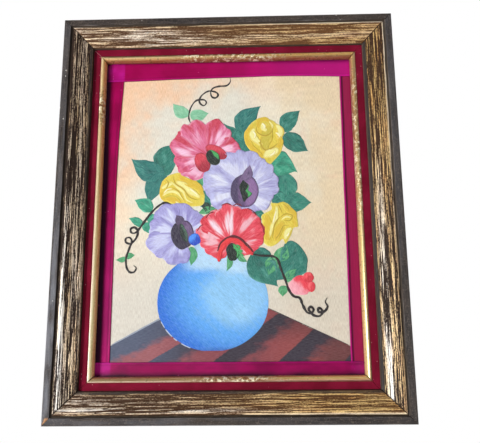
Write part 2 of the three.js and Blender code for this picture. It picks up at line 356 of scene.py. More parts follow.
def charcoal_wood(s):
    """The moulding's flat outer band and outer side: grey-black stain over open grain, rubbed paler along its
    edges, greyed by dust and a painted sheen, with a few specks of white paint and bare tan wood where it is
    chipped."""
    place = s.place()
    grain, pores = s.streaks(1400.0, 25.0), s.streaks(3200.0, 90.0)
    cloud, powder = s.noise(place, 14.0, 4.0), s.noise(place, 620.0, 2.0)
    specks = s.group(SPECKS, Vector=place, Scale=160.0, Size=0.15, Share=0.05)
    tone = s.layers(
        s.mix(grain, rgba(28, 24, 23), rgba(80, 71, 68)),
        (s.step(cloud, 0.42, 0.66, 0.0, 0.45), rgba(92, 78, 66)),
        (s.times(pores, 0.6), rgba(16, 13, 13)),
        (s.step(powder, 0.52, 0.7, 0.0, 0.5), rgba(126, 112, 100)),
        (s.times(s.value("rubbed"), 0.6), rgba(138, 130, 128)),
        # dust, with a painted sheen
        (s.times(s.value("dust_and_sheen"), 0.65), rgba(138, 140, 148)),
        (specks, rgba(205, 202, 195)),
        (s.value("chipped"), s.mix(grain, rgba(168, 112, 72), rgba(206, 164, 124))),
    )
    return {
        "Base Color": tone,
        "Roughness": s.step(cloud, 0.3, 0.7, 0.48, 0.66),
        "Specular IOR Level": 0.3,
        "Normal": s.bump(s.minus(grain, s.times(pores, 0.8)), 0.00025, 0.9),
    }


def groove_lacquer(s):
    """Near-black lacquer in the groove and on the steep inner lip, with dust in its hollows."""
    dust = s.noise(s.place(), 160.0, 5.0)
    tone = s.layers(
        rgba(22, 18, 16),
        (s.step(dust, 0.45, 0.75, 0.0, 0.5), rgba(70, 58, 48)),
        (s.times(s.streaks(1500.0, 30.0), 0.3), rgba(96, 76, 50)),
        (s.value("dust_and_sheen"), rgba(150, 134, 122)),
    )
    return {
        "Base Color": tone,
        "Roughness": s.step(dust, 0.3, 0.7, 0.35, 0.6),
        "Specular IOR Level": 0.3,
        "Normal": s.bump(dust, 0.0001, 0.5),
    }


def brushed_gilding(s):
    """Gold leaf over black, wire-brushed along the length: gold on the ridges, black-brown in the furrows and
    in short cross cuts, taupe where it is grimed, with painted silver highlights and painted glints on the
    highest ridges."""
    line, thread = s.drawn_out(800, 24, 2.0), s.drawn_out(1800, 90, 3.0)
    dash, cloud = s.drawn_out(1100, 340, 2.0), s.drawn_out(60, 14, 3.0)
    hair = s.streaks(3600.0, 240.0)
    wear_and_highlight, grimed = s.value("wear_and_highlight"), s.value("grimed")
    level = s.plus(s.times(line, 0.52), s.times(thread, 0.48))
    for part, weight in ((dash, 0.44), (s.value("ridge"), 0.2), (wear_and_highlight, 0.1)):
        level = s.plus(level, s.times(part, weight))
    level = s.minus(level, s.times(grimed, 0.04))
    leaf = s.step(level, 0.79, 0.86)
    # painted glints, whiter where highlighted and where grimed
    glint = s.mix(s.math("MAXIMUM", wear_and_highlight, grimed), rgba(250, 212, 140), rgba(255, 250, 240))
    gold = s.layers(
        s.mix(hair, rgba(168, 124, 66), rgba(232, 196, 128)),
        (s.step(cloud, 0.45, 0.62, 0.0, 0.7), rgba(186, 130, 66)),
        (grimed, s.mix(hair, rgba(150, 126, 108), rgba(226, 204, 178))),
        # painted silver highlights
        (wear_and_highlight, s.mix(hair, rgba(212, 208, 204), rgba(255, 254, 252))),
        (s.step(level, 0.9, 0.99, 0.0, 0.95), glint),
    )
    tone = s.layers(
        s.mix(thread, rgba(12, 6, 3), rgba(54, 33, 20)),
        (s.value("browned"), s.mix(thread, rgba(58, 32, 14), rgba(132, 88, 46))),
        (leaf, gold),
        (s.value("stained"), s.mix(thread, rgba(26, 21, 20), rgba(74, 66, 62))),
    )
    return {
        "Base Color": tone,
        "Metallic": s.times(leaf, 0.25),
        "Roughness": s.step(leaf, 0.0, 1.0, 0.6, 0.36),
        "Specular IOR Level": 0.25,
        "Normal": s.bump(s.plus(s.times(leaf, 0.8), s.times(hair, 0.35)), 0.00035, 0.8),
    }


def bare_wood(s):
    """Planed pale wood of the backs and rebates, with grain along each length."""
    rings, fibre = s.streaks(260.0, 5.0), s.streaks(2600.0, 40.0)
    tone = s.layers(
        s.mix(rings, rgba(196, 158, 108), rgba(160, 116, 70)),
        (s.times(fibre, 0.3), rgba(124, 88, 54)),
        (s.step(s.noise(s.place(), 11.0, 4.0), 0.5, 0.72, 0.0, 0.5), rgba(134, 104, 74)),
    )
    return {
        "Base Color": tone,
        "Roughness": s.step(rings, 0.0, 1.0, 0.62, 0.72),
        "Normal": s.bump(s.plus(fibre, rings), 0.00012, 0.6),
    }


def bead_leaf(s):
    """Bright leaf on the liner's bead, smooth and lined along its length, and in its flaked
    stretches crazed, with pale lifted scales and brown bole between them."""
    place, flaked, paint = s.place(), s.value("flaked"), s.paint()
    crackle = s.add("TexVoronoi", {"Vector": place, "Scale": 250.0}, feature="DISTANCE_TO_EDGE")
    cracks = s.times(s.step(crackle.outputs[0], 0.0, 0.1, 1.0, 0.0), flaked)
    patch = s.noise(place, 190.0, 3.0)
    lost = s.times(flaked, s.step(patch, 0.55, 0.62))
    scale = s.times(flaked, s.step(patch, 0.5, 0.43))
    lined = s.streaks(1300.0, 30.0)
    # paint: the leaf's colour, with painted highlights and shade across the bead
    darker = s.mix(1.0, paint, rgba(222, 210, 190), "MULTIPLY")
    tone = s.layers(
        s.mix(lined, darker, s.mix(0.1, paint, rgba(255, 248, 226))),
        (cracks, rgba(84, 50, 26)),
        (scale, rgba(255, 244, 210)),
        (lost, s.mix(patch, rgba(76, 42, 24), rgba(150, 96, 58))),
    )
    height = s.plus(s.minus(s.times(scale, 0.6), cracks), s.times(lined, 0.08))
    dulled = s.times(s.math("MAXIMUM", lost, s.value("matt")), 0.38)
    return {
        "Base Color": tone,
        "Metallic": s.minus(0.45, dulled),
        "Roughness": s.step(patch, 0.3, 0.7, 0.26, 0.36),
        "Normal": s.bump(height, 0.0003, 0.8),
    }


def crimson_velvet(s):
    """Short crimson pile: dark when looked into, paler at a slant, brushed unevenly, with lint."""
    place = s.place()
    pile, nap = s.noise(place, 2200.0, 2.0), s.noise(place, 30.0, 4.0)
    lint = s.group(SPECKS, Vector=place, Scale=300.0, Size=0.16, Share=0.05)
    tone = s.layers(
        s.mix(s.step(nap, 0.38, 0.66), rgba(112, 14, 38), rgba(132, 22, 50)),
        (s.times(pile, 0.4), rgba(72, 4, 24)),
        (lint, rgba(196, 140, 142)),
        (s.value("frayed"), rgba(186, 120, 128)),
    )
    return {
        "Base Color": tone,
        "Roughness": s.step(nap, 0.3, 0.7, 0.8, 0.95),
        "Sheen Weight": 0.25,
        "Sheen Roughness": 0.35,
        "Sheen Tint": rgba(214, 70, 110),
        "Specular IOR Level": 0.08,
        "Normal": s.bump(pile, 0.0003, 0.6),
    }


def magenta_satin(s):
    """Satin ribbon: fine ribs across it, a soft sheen along it, a painted sheen where two strips lie
    together, a painted highlight on the rolled edge, a duller crimson painted shade on some strips, and
    painted shadow beside its edges, in its fold and under the liner."""
    place = s.place()
    ribs, warp = s.streaks(60.0, 2600.0), s.streaks(2400.0, 14.0)
    cloud = s.noise(place, 16.0, 3.0)
    dust = s.group(SPECKS, Vector=place, Scale=230.0, Size=0.12, Share=0.03)
    tone = s.layers(
        s.mix(s.step(cloud, 0.36, 0.66), rgba(150, 0, 70), rgba(172, 0, 88)),
        (s.times(warp, 0.3), rgba(124, 0, 60)),
        # painted shade: a duller crimson on the right strip
        (s.value("crimson"), s.mix(warp, rgba(130, 20, 62), rgba(148, 30, 74))),
        # painted sheen where two strips lie together
        (s.value("doubled_sheen"), s.mix(cloud, rgba(150, 0, 110), rgba(230, 40, 176))),
        # a pale selvage line, a painted highlight on the rolled edge and a painted sheen along the top strip
        (s.value("pale"), rgba(192, 16, 142)),
        # painted shadow beside the bead, in the fold and along the inner edge, with blotchy tone
        (s.value("deep"), rgba(44, 6, 34)),
        (dust, rgba(222, 110, 170)),
    )
    return {
        "Base Color": tone,
        "Roughness": s.step(cloud, 0.3, 0.7, 0.36, 0.46),
        "Sheen Weight": 0.03,
        "Sheen Roughness": 0.3,
        "Sheen Tint": rgba(255, 60, 180),
        "Specular IOR Level": 0.12,
        "Anisotropic": 0.5,
        "Normal": s.bump(s.plus(ribs, s.times(warp, 0.5)), 0.00006, 0.5),
    }


def oil_paint(s, roughness, weave_shows, bristle, ridge_paleness=0.06):
    """Oil paint in the colour of each point, streaked by the bristles along the stroke, with
    the canvas showing through by a share."""
    place, paint = s.place(), s.paint()
    streak = s.streaks(1300.0, 150.0)
    threads = s.group(WEAVE, Vector=place, Threads=THREADS)
    darker = s.mix(1.0, paint, rgba(238, 234, 232), "MULTIPLY")
    tone = s.mix(streak, darker, s.mix(ridge_paleness, paint, rgba(255, 252, 244)))
    sunk = s.times(s.step(threads, 0.1, 0.5, 1.0, 0.0), weave_shows)
    wear_and_highlight = s.times(s.step(s.noise(place, 520.0, 2.0), 0.6, 0.7), weave_shows * 0.14)
    tone = s.layers(
        tone,
        (sunk, s.mix(1.0, tone, rgba(214, 206, 196), "MULTIPLY")),
        (wear_and_highlight, rgba(240, 232, 216)),
    )
    return {
        "Base Color": tone,
        "Roughness": s.step(streak, 0.0, 1.0, roughness + 0.08, roughness),
        "Specular IOR Level": 0.2,
        "Normal": s.bump(streak, 0.0002, bristle, s.bump(threads, 0.00025, weave_shows * 0.7)),
    }


def panel_board(s):
    """The panel's own surfaces: canvas turned over its edges, and grey card inside that margin."""
    place = s.place()
    parts = s.add("SeparateXYZ", {0: place})
    from_middle = parts.outputs[0], s.minus(parts.outputs[2], CENTRE_Z * MM)
    half_sizes = PANEL_HIGH[0] - TURNED_MARGIN, PANEL_HIGH[2] - CENTRE_Z - TURNED_MARGIN
    wave = s.times(s.noise(place, 60.0), 0.003)
    beyond = [
        s.plus(s.minus(s.math("ABSOLUTE", part), half * MM), wave)
        for part, half in zip(from_middle, half_sizes)
    ]
    turned = s.step(s.math("MAXIMUM", *beyond), 0.0012, 0.0018)
    threads = s.group(WEAVE, Vector=place, Threads=THREADS)
    fibre = s.noise(place, 900.0, 4.0)
    age = s.step(s.noise(place, 9.0, 5.0), 0.35, 0.7)
    tone = s.layers(
        s.mix(fibre, rgba(150, 142, 128), rgba(186, 178, 162)),
        (s.times(age, 0.35), rgba(158, 134, 100)),
        (turned, s.mix(threads, rgba(176, 162, 132), rgba(226, 216, 190))),
    )
    height = s.plus(s.times(fibre, 0.2), s.times(threads, turned))
    return {
        "Base Color": tone,
        "Roughness": s.step(fibre, 0.2, 0.8, 0.75, 0.9),
        "Normal": s.bump(s.plus(height, s.times(turned, 2.0)), 0.0003, 0.7),
    }


def worn_metal(s, bright, dull):
    """Thin stamped metal: rolled streaks, tarnish in clouds and a few dark pits."""
    place = s.place()
    tarnish = s.step(s.noise(place, 160.0, 5.0), 0.42, 0.66)
    pits = s.group(SPECKS, Vector=place, Scale=900.0, Size=0.22, Share=0.2)
    return {
        "Base Color": s.layers(bright, (tarnish, dull), (s.times(pits, 0.7), rgba(48, 38, 26))),
        "Metallic": s.step(tarnish, 0.0, 1.0, 0.95, 0.7),
        "Roughness": s.step(tarnish, 0.0, 1.0, 0.28, 0.5),
        "Normal": s.bump(s.streaks(60.0, 3000.0, place), 0.00005, 0.5),
    }


CHARCOAL = finish("charcoal stained wood", charcoal_wood)
LACQUER = finish("black lacquer", groove_lacquer)
GILDING = finish("brushed gilding", brushed_gilding)
BARE_WOOD = finish("bare wood", bare_wood)
BEAD_LEAF = finish("bead leaf", bead_leaf)
VELVET = finish("crimson velvet", crimson_velvet)
SATIN = finish("magenta satin", magenta_satin)
THIN_PAINT = finish("thin background paint", oil_paint, 0.6, 0.6, 0.15)
BODY_PAINT = finish("body paint", oil_paint, 0.5, 0.35, 0.35)
TABLE_PAINT = finish("table paint", oil_paint, 0.5, 0.14, 0.06, 0.02)
LINE_PAINT = finish("line paint", oil_paint, 0.45, 0.1, 0.3)
BOARD = finish("canvas and board", panel_board)
BRASSED = finish("brassed plate", worn_metal, rgba(214, 176, 96), rgba(138, 104, 56))
STEEL = finish("dull steel", worn_metal, rgba(176, 172, 166), rgba(110, 104, 98))

# ------------------------------------------------------------------ mitred lengths

# How far each side is turned clockwise, its outer length, and the middle's distance from it.
SIDES = {
    "top": (0.0, FRAME_WIDTH, FRAME_HEIGHT / 2),
    "right": (math.pi / 2, FRAME_HEIGHT, FRAME_WIDTH / 2),
    "bottom": (math.pi, FRAME_WIDTH, FRAME_HEIGHT / 2),
    "left": (-math.pi / 2, FRAME_HEIGHT, FRAME_WIDTH / 2),
}


def curve(start, control, end, count):
    """Points of a quadratic curve, without its last one: start, control and end weighted by
    (1 - t)^2, 2t(1 - t) and t^2."""
    t = np.linspace(0, 1, count, endpoint=False)[:, None]
    return (1 - t) ** 2 * np.array(start) + 2 * t * (1 - t) * np.array(control) + t**2 * np.array(end)


def straight(start, end, count):
    """Points of a straight line, without its last one."""
    t = np.linspace(0, 1, count, endpoint=False)[:, None]
    return (1 - t) * np.array(start) + t * np.array(end)


def lengths_to(points):
    """How far along a line of points each one lies."""
    return np.concatenate([[0], np.cumsum(np.linalg.norm(np.diff(points, axis=0), axis=1))])


def section_of(runs):
    """Runs of (points, zone) as one closed outline, its zones, and its outward normals, which
    are the outline's direction turned a quarter and averaged over the two neighbours."""
    outline = np.concatenate([points for points, _ in runs])
    zones = np.concatenate([np.full(len(points), zone) for points, zone in runs])
    ahead, behind = np.roll(outline, -1, 0) - outline, outline - np.roll(outline, 1, 0)
    ahead /= np.linalg.norm(ahead, axis=1, keepdims=True)
    behind /= np.linalg.norm(behind, axis=1, keepdims=True)
    along = ahead + behind
    along /= np.maximum(np.linalg.norm(along, axis=1, keepdims=True), 1e-9)
    return outline, zones, np.stack([along[:, 1], -along[:, 0]], axis=1)


NEAR_MITRE = np.array([[0, 0.3, 0.6, 1.0, 1.6, 2.4, 3.4, 4.6, 6.0, 7.6]])  # closer steps at the ends


def mitred_length(name, side, section, pitch, relief, materials):
    """A section carried along one side, with both ends cut at 45 degrees and steps of about
    the pitch between them.
    A point that is "in" from the outer edge runs to x = +-(length / 2 - in - gap). relief(in,
    behind, x, zone, side) moves it along its normal and gives the values that its materials
    read, with its colour under "paint"."""
    outline, zones, normals = section
    turn, outer_length, to_outer_edge = SIDES[side]
    half = outer_length / 2 - outline[:, :1] - MITRE_END_GAP
    between = np.linspace(-1, 1, int(outer_length / pitch))[None, :] * (half - NEAR_MITRE[0, -1])
    x = np.concatenate([NEAR_MITRE - half, between[:, 1:-1], (half - NEAR_MITRE)[:, ::-1]], axis=1)
    lift, values = relief(outline[:, :1] + 0 * x, outline[:, 1:] + 0 * x, x, zones[:, None] + 0 * x, side)
    inward = outline[:, :1] + normals[:, :1] * lift
    behind = outline[:, 1:] + normals[:, 1:] * lift
    height = to_outer_edge - inward
    points = np.stack(
        [
            x * math.cos(turn) + height * math.sin(turn),
            FRONT + behind,
            CENTRE_Z - x * math.sin(turn) + height * math.cos(turn),
        ],
        axis=-1,
    ).reshape(-1, 3)
    quads, caps = band_faces(*x.shape, flip=True)
    uv = np.stack([lengths_to(outline)[:, None] + 0 * x, x], axis=-1).reshape(-1, 2)
    quad_zones = np.repeat(zones, x.shape[1] - 1)
    paint = values.pop("paint").reshape(-1, 3) if "paint" in values else None
    values = {key: value.ravel() for key, value in values.items()}
    return make_piece(name, points, quads, caps, uv, materials, quad_zones, paint, values)


BAND_ZONE, GROOVE_ZONE, FACE_ZONE, BACK_ZONE = range(4)
# Corners of the moulding's section: how far in from its outer edge, and how far behind its front.
EDGE_ROUND = 2
BAND_ROUND_IN, BAND_WIDTH = 9.8, 10.8
BAND_END = (BAND_WIDTH, 1)
GROOVE_START, GROOVE_END = (11.3, 3), (13.2, 3)
SHOULDER_START, SHOULDER_CREST, SHOULDER_END = (13.6, 1.9), (17, 0), (22.5, 1.4)
FACE_END = (43.8, 9.4)
LIP_START, LIP_END = (45.8, 11.4), (LIP_IN, VELVET_DEEP - GAP)
REBATE_IN = LINER_IN - GAP


def moulding_section():
    """From the back of the outer side, over the band, groove, shoulder, face and lip, to the
    rebate and the back."""
    back_out, back_in, rebate = (0, FRAME_DEPTH), (REBATE_IN, FRAME_DEPTH), (REBATE_IN, LIP_END[1])
    runs = [
        (straight(back_out, (0, EDGE_ROUND), 8), BAND_ZONE),
        (curve((0, EDGE_ROUND), (0, 0), (EDGE_ROUND, 0), 6), BAND_ZONE),
        (straight((EDGE_ROUND, 0), (BAND_ROUND_IN, 0), 14), BAND_ZONE),
        (curve((BAND_ROUND_IN, 0), (BAND_WIDTH, 0), BAND_END, 5), BAND_ZONE),
        (straight(BAND_END, GROOVE_START, 3), GROOVE_ZONE),
        (straight(GROOVE_START, GROOVE_END, 4), GROOVE_ZONE),
        (straight(GROOVE_END, SHOULDER_START, 2), GROOVE_ZONE),
        (curve(SHOULDER_START, (14.1, 0), SHOULDER_CREST, 12), FACE_ZONE),
        (curve(SHOULDER_CREST, (21, 0), SHOULDER_END, 16), FACE_ZONE),
        (curve(SHOULDER_END, (33.15, 6.2), FACE_END, 62), FACE_ZONE),
        (curve(FACE_END, (45.4, 10), LIP_START, 6), FACE_ZONE),
        (straight(LIP_START, LIP_END, 6), GROOVE_ZONE),
        (straight(LIP_END, rebate, 3), BACK_ZONE),
        (straight(rebate, back_in, 4), BACK_ZONE),
        (straight(back_in, back_out, 8), BACK_ZONE),
    ]
    return section_of(runs)


SIDE_SEEDS = {"top": 11, "right": 23, "bottom": 37, "left": 53}
# How each side wears and is lit, at its beginning and at its end, going round clockwise from the top left.
# The two rows for the shoulder and the middle are painted silver highlights, the row for the shoulder's outer
# edge is a painted highlight above zero and painted shade below it, and the band's row is dust with a painted
# sheen. "leaf" is how much more or less of it is left than the brush leaves by itself.
WEAR = {
    # top, right, bottom, left
    "shoulder highlight": ((0.2, 0.05), (0.05, 0.15), (0.0, 0.9), (1.0, 0.3)),
    "shoulder edge light and shade": ((0.0, 1.0), (1.0, 0.3), (0.8, 0.0), (-0.3, -1.2)),
    "middle highlight": ((0.1, 0.2), (0.0, 1.0), (0.0, 0.15), (0.35, 0.3)),
    "lip stain": ((0.0, 0.0), (1.0, 1.0), (0.8, 0.8), (0.3, 0.8)),
    "groove dust": ((0.1, 0.1), (0.2, 0.15), (0.0, 0.0), (0.0, 0.0)),
    "browned": ((0.5, 0.9), (0.2, 0.0), (0.7, 0.3), (0.0, 0.0)),
    "grime": ((0.9, 0.15), (0.05, 0.2), (0.05, 0.85), (0.7, 0.6)),
    "band dust and sheen": ((0.0, 0.05), (0.25, 0.1), (0.1, 0.35), (1.0, 0.2)),
    "leaf": ((0.0, -0.18), (-0.24, -0.25), (0.0, -0.16), (-0.04, -0.32)),
}


def hump(value, middle, width):
    """A bell curve: e to the minus square of the distance from the middle over the width."""
    return np.exp(-(((value - middle) / width) ** 2))


def joint_at(side, inward, x, start, end):
    """1 at a mitre, falling to 0 from start to end away from it."""
    return 1 - smooth(SIDES[side][1] / 2 - inward - np.abs(x), start, end)


def moulding_relief(inward, behind, x, zones, side):
    """Furrows along the face from fields that are fine across and long along; grain on the
    band; nothing on the back. All of it cuts in from the section."""
    seed = SIDE_SEEDS[side]
    half = SIDES[side][1] / 2
    face, band = zones == FACE_ZONE, zones == BAND_ZONE
    across = inward - behind * (inward < 0.5)
    joint = joint_at(side, inward, x, 0.3, 1.1)
    onward = smooth(x / half, -0.55, 0.55)

    def share(kind):
        """A kind of wear, going over from the side's beginning to its end."""
        begin, end = WEAR[kind][list(SIDES).index(side)]
        return begin + (end - begin) * onward

    furrow = field(inward / 1.3, x / 55, seed) + 0.5 * field(inward / 0.6, x / 22, seed + 1)
    wear = field(inward / 9, x / 120, seed + 2, 2) * (0.6 if side == "left" else 1.0)
    ridge = smooth(furrow + 0.35 * wear, -0.45, 0.4)
    grain = np.clip(field(across / 0.9, x / 30, seed + 3), -1, 1)
    chip = smooth(field(inward / 4, x / 7, seed + 5), 0.45, 0.8) * (inward > 0.5)
    chipped = np.zeros_like(x)
    if side == "left":
        from_foot = np.hypot((half + x - inward) / 6, (inward - 5) / 5.5)
        ragged = field(inward / 2.5, x / 4, seed + 8)
        chipped = smooth(1.0 - from_foot + 0.4 * ragged, 0, 0.35) * (inward < BAND_WIDTH)
    cut = (0.22 * chip + 0.5 * chipped) * (inward < BAND_WIDTH)
    lift = np.where(face, -0.4 * (1 - ridge), 0.0)
    lift = np.where(band, -0.09 - 0.08 * grain - cut, lift)
    lift = np.where(band & (inward < 0.3), 0.0, lift)
    lift = np.where(face | band & (inward > 0.3), lift - 0.5 * joint, lift)

    # painted silver highlights on the shoulder and the middle of the face; at the shoulder's outer edge,
    # painted highlight where positive and painted shade where negative
    shoulder_highlight = hump(inward, 20.5, 4.8 if side == "left" else 3.2) * share("shoulder highlight")
    middle = hump(inward - 34 + 2.5 * wear, 0, 4.6) * share("middle highlight")
    edge = hump(inward, 14.8, 1.5) * share("shoulder edge light and shade")
    patchy = smooth(wear + 0.4 * field(inward / 12, x / 50, seed + 6), -0.6, 0.5)
    edges = hump(inward, 0, 1.0) * hump(behind, 0, 2.0) + hump(inward, BAND_WIDTH, 0.8)
    rubbed = edges * smooth(field(across / 3, x / 18, seed + 4), -0.2, 0.7)
    # dust on the band, with a painted sheen, strongest on the left
    band_dust_and_sheen = share("band dust and sheen") * smooth(field(across / 5, x / 40, seed + 7), -0.9, 0.6)
    return lift, {
        "ridge": ridge + share("leaf") + edge - 1.5 * joint,
        "wear_and_highlight": np.clip((shoulder_highlight + middle) * smooth(furrow + wear, -0.9, 0.3) + 0.6 * edge, 0, 1),
        "grimed": share("grime") * (0.5 + 0.5 * patchy),
        "stained": share("lip stain") * smooth(inward + 0.3 * wear, 41.4, 42.6),
        "rubbed": np.clip(rubbed, 0, 1) * (1 - joint),
        "dust_and_sheen": np.where(band, band_dust_and_sheen, share("groove dust")),
        "chipped": chipped,
        "browned": share("browned"),
    }


BARE_ZONE, LEAF_ZONE = range(2)
VELVET_END_IN, VELVET_THICK = 57.7, 1
BEAD_CREST = (60, 15.2)
SIGHT_FOOT_DEEP = 24.4


def liner_section():
    """The flat under the velvet, the bead, the sight edge, the panel's rebate and the back."""
    face, lip = VELVET_DEEP + VELVET_THICK + GAP, STRIP_DEEP - GAP
    rebate = FRAME_WIDTH / 2 - PANEL_HIGH[0] - GAP
    bead_start, sight_foot = (VELVET_END_IN + GAP, VELVET_DEEP + 0.2), (SIGHT_IN, SIGHT_FOOT_DEEP)
    back_out, back_in = (LINER_IN, LINER_BACK_DEEP), (rebate, LINER_BACK_DEEP)
    runs = [
        (straight(back_out, (LINER_IN, face), 3), BARE_ZONE),
        (straight((LINER_IN, face), (bead_start[0], face), 3), BARE_ZONE),
        (straight((bead_start[0], face), bead_start, 3), LEAF_ZONE),
        (curve(bead_start, (58.4, BEAD_CREST[1]), BEAD_CREST, 8), LEAF_ZONE),
        (curve(BEAD_CREST, (SIGHT_IN - 1, 16.2), sight_foot, 24), LEAF_ZONE),
        (straight(sight_foot, (SIGHT_IN, lip), 5), LEAF_ZONE),
        (straight((SIGHT_IN, lip), (rebate, lip), 3), BARE_ZONE),
        (straight((rebate, lip), back_in, 3), BARE_ZONE),
        (straight(back_in, back_out, 6), BARE_ZONE),
    ]
    return section_of(runs)


# Where the leaf flakes on each side: the middle of the stretch along it, and its half length.
FLAKED = {"top": (0, 75), "right": (-100, 105), "bottom": (-10, 60), "left": (170, 30)}
# Places across the bead, how far in from the outer edge, and the leaf's tones at them, at each side's
# beginning and at its end: lit and shaded copies of the leaf, with painted highlights and painted shade
# across the bead.
BEAD_PLACES = (57.7, 58.9, 60.1, 61.7, 63.5, 65.2)
BEAD_LIT_TONES = {
    "top": (
        ((104, 40, 42), (122, 86, 58), (140, 108, 68), (222, 196, 142), (208, 158, 92), (178, 114, 64)),
        ((100, 38, 40), (150, 100, 52), (206, 162, 80), (208, 164, 78), (146, 98, 46), (154, 94, 48)),
    ),
    "right": (
        ((112, 52, 44), (150, 104, 70), (164, 130, 76), (166, 132, 78), (200, 164, 102), (186, 126, 82)),
        ((120, 56, 50), (160, 118, 92), (190, 165, 118), (225, 208, 150), (250, 232, 160), (250, 215, 150)),
    ),
    "bottom": (
        ((104, 36, 42), (125, 66, 56), (194, 145, 111), (223, 171, 104), (255, 235, 153), (243, 178, 115)),
        ((150, 90, 84), (240, 215, 195), (178, 155, 120), (165, 132, 92), (185, 140, 95), (170, 105, 78)),
    ),
    "left": (
        ((132, 64, 60), (216, 186, 160), (255, 250, 228), (255, 244, 190), (255, 230, 164), (246, 190, 126)),
        ((122, 56, 52), (190, 144, 112), (246, 218, 164), (252, 222, 154), (246, 194, 118), (232, 160, 98)),
    ),
}
BEAD_MATT = {"top": 0.0, "right": 0.0, "bottom": 0.3, "left": 1.0}


def liner_relief(inward, behind, x, zones, side):
    """Wrinkled leaf on the bead, strongest round the middle of its flaked stretch."""
    seed = SIDE_SEEDS[side] + 100
    middle, reach = FLAKED[side]
    patchy = smooth(field(inward / 3, x / 16, seed + 1), -0.7, 0.4)
    flaked = 0.04 + 0.96 * np.exp(-(((x - middle) / reach) ** 4)) * patchy
    wrinkle = np.abs(field(inward / 2.2, x / 4.2, seed, 3))
    joint = joint_at(side, inward, x, 0.2, 0.9)
    lift = np.where(zones == LEAF_ZONE, -(0.03 + 0.85 * flaked * wrinkle**1.2 + 0.5 * joint), 0.0)
    # the leaf's colour across the bead, with painted highlights and shade on each side
    tones = rgb(*np.moveaxis(np.array(BEAD_LIT_TONES[side]), -1, 0))
    place = inward + 0.4 * wrinkle
    begin, end = (
        np.stack([np.interp(place, BEAD_PLACES, channel) for channel in tones[:, which]], -1)
        for which in (0, 1)
    )
    paint = mixed(begin, end, smooth(x / SIDES[side][1], -0.35, 0.35)) * (1 - 0.7 * joint)[..., None]
    matt = BEAD_MATT[side] + 0 * x
    return lift, {"flaked": flaked * (zones == LEAF_ZONE), "matt": matt, "paint": paint}


def velvet_section():
    """A thin strip with a softly rounded inner edge."""
    front, back = VELVET_DEEP, VELVET_DEEP + VELVET_THICK
    edge = VELVET_END_IN
    runs = [
        (straight((LINER_IN, back), (LINER_IN, front), 3), 0),
        (straight((LINER_IN, front), (edge - 0.8, front), 26), 0),
        (curve((edge - 0.8, front), (edge, front), (edge, front + 0.7), 6), 0),
        (straight((edge, front + 0.7), (edge, back), 2), 0),
        (straight((edge, back), (LINER_IN, back), 4), 0),
    ]
    return section_of(runs)


def velvet_relief(inward, behind, x, zones, side):
    """Slow hollows where the cloth is glued less tightly, and the tuft of its pile."""
    seed = SIDE_SEEDS[side] + 200
    hollow = smooth(field(inward / 9, x / 34, seed, 3), -0.6, 0.9)
    tuft = field(inward / 0.7, x / 1.6, seed + 1, 1)
    joint = joint_at(side, inward, x, 0.2, 0.9)
    frayed = joint * {"top": x < 0, "left": x > 0}.get(side, 0)
    return -(0.14 * hollow + 0.05 + 0.04 * tuft + 0.25 * joint), {"frayed": frayed + 0 * x}


# Each length's name, node and slot; then its section, step along it, relief and materials.
LENGTHS = [
    ("moulding", "frame", "moulding", moulding_section(), 3.2, moulding_relief,
     [CHARCOAL, LACQUER, GILDING, BARE_WOOD]),
    ("beaded_liner", "liner", "liner", liner_section(), 1.5, liner_relief, [BARE_WOOD, BEAD_LEAF]),
    ("velvet_strip", "velvet", "velvet", velvet_section(), 2.2, velvet_relief, [VELVET]),
]


for side, (_, outer_length, _) in SIDES.items():
    for kind, node, slot, *build in LENGTHS:
        piece = mitred_length(f"{kind}_{side}", side, *build)
        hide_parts(f"{node}_{side}")

# ------------------------------------------------------------------ ribbon strips

RIBBON_LAYER = 0.8  # thickness of a strip where it crosses another
END_Z = PANEL_HIGH[2] - CENTRE_Z  # half the panel's height
END_X = PANEL_HIGH[0]
# Each strip's inner edge: places along it, and how far in from the frame's edge it lies there.
INNER_EDGE = {
    "top": ((-203.2, -150, -100, 0, 80, 125, 203.2), (97.5, 96.5, 94.7, 92.8, 91.5, 92.3, 94.6)),
    "bottom": ((-203.2, 203.2), (86.1, 85.6)),
    "left": ((-254.2, 60, 120, 254.2), (86.8, 87.4, 88.9, 95.6)),
    "right": ((-254.2, 254.2), (85.1, 82.6)),
}
# The rolled inner edge: how far it stands up, how dark the painted shadow in the fold beside it is, and how
# strong the painted highlight on it is.
ROLLED_EDGE = {
    "top": (0.0, 0.1, 0.15),
    "bottom": (0.0, 0.1, 0.1),
    "left": (0.15, 0.2, 0.0),
    "right": (0.95, 0.75, 0.5),
}
# painted shade: how much of each strip is dulled to crimson
DULL_SHADE_SHARE = {"top": 0.0, "bottom": 0.12, "left": 0.0, "right": 0.9}
# painted sheen where a level strip lies over the left and right strips
OVERLAP_SHEEN = {"top": (0.8, 0.1), "bottom": (0.55, 0.3)}  # brightness over the left and right strips
# blotchy tone, with painted shade that darkens these strips overall
BLOTCH_AND_SHADE = {"bottom": 0.42, "left": 0.26}
ROLL_WIDTH = 2.6
FOLD_WIDTH = 5.0
# Steps out from the inner edge, close at its roll and fold.
NEAR_EDGE = np.concatenate([np.linspace(0, 6, 22), np.linspace(6.8, 15, 8)])[:, None]


def strip_reach(name, along):
    """How far in from the frame's edge a strip's inner edge lies: straight between its places,
    softened over the neighbouring 16 mm."""
    places, reaches = INNER_EDGE[name]
    near = [np.interp(along + step, places, reaches) for step in (-16.0, -8.0, 0.0, 8.0, 16.0)]
    return sum(near) / len(near)


def crossing(side, level):
    """How far from the middle a level strip meets the inner edge of the one at a side."""
    return FRAME_WIDTH / 2 - strip_reach(side, (1 if level == "top" else -1) * 200.0)


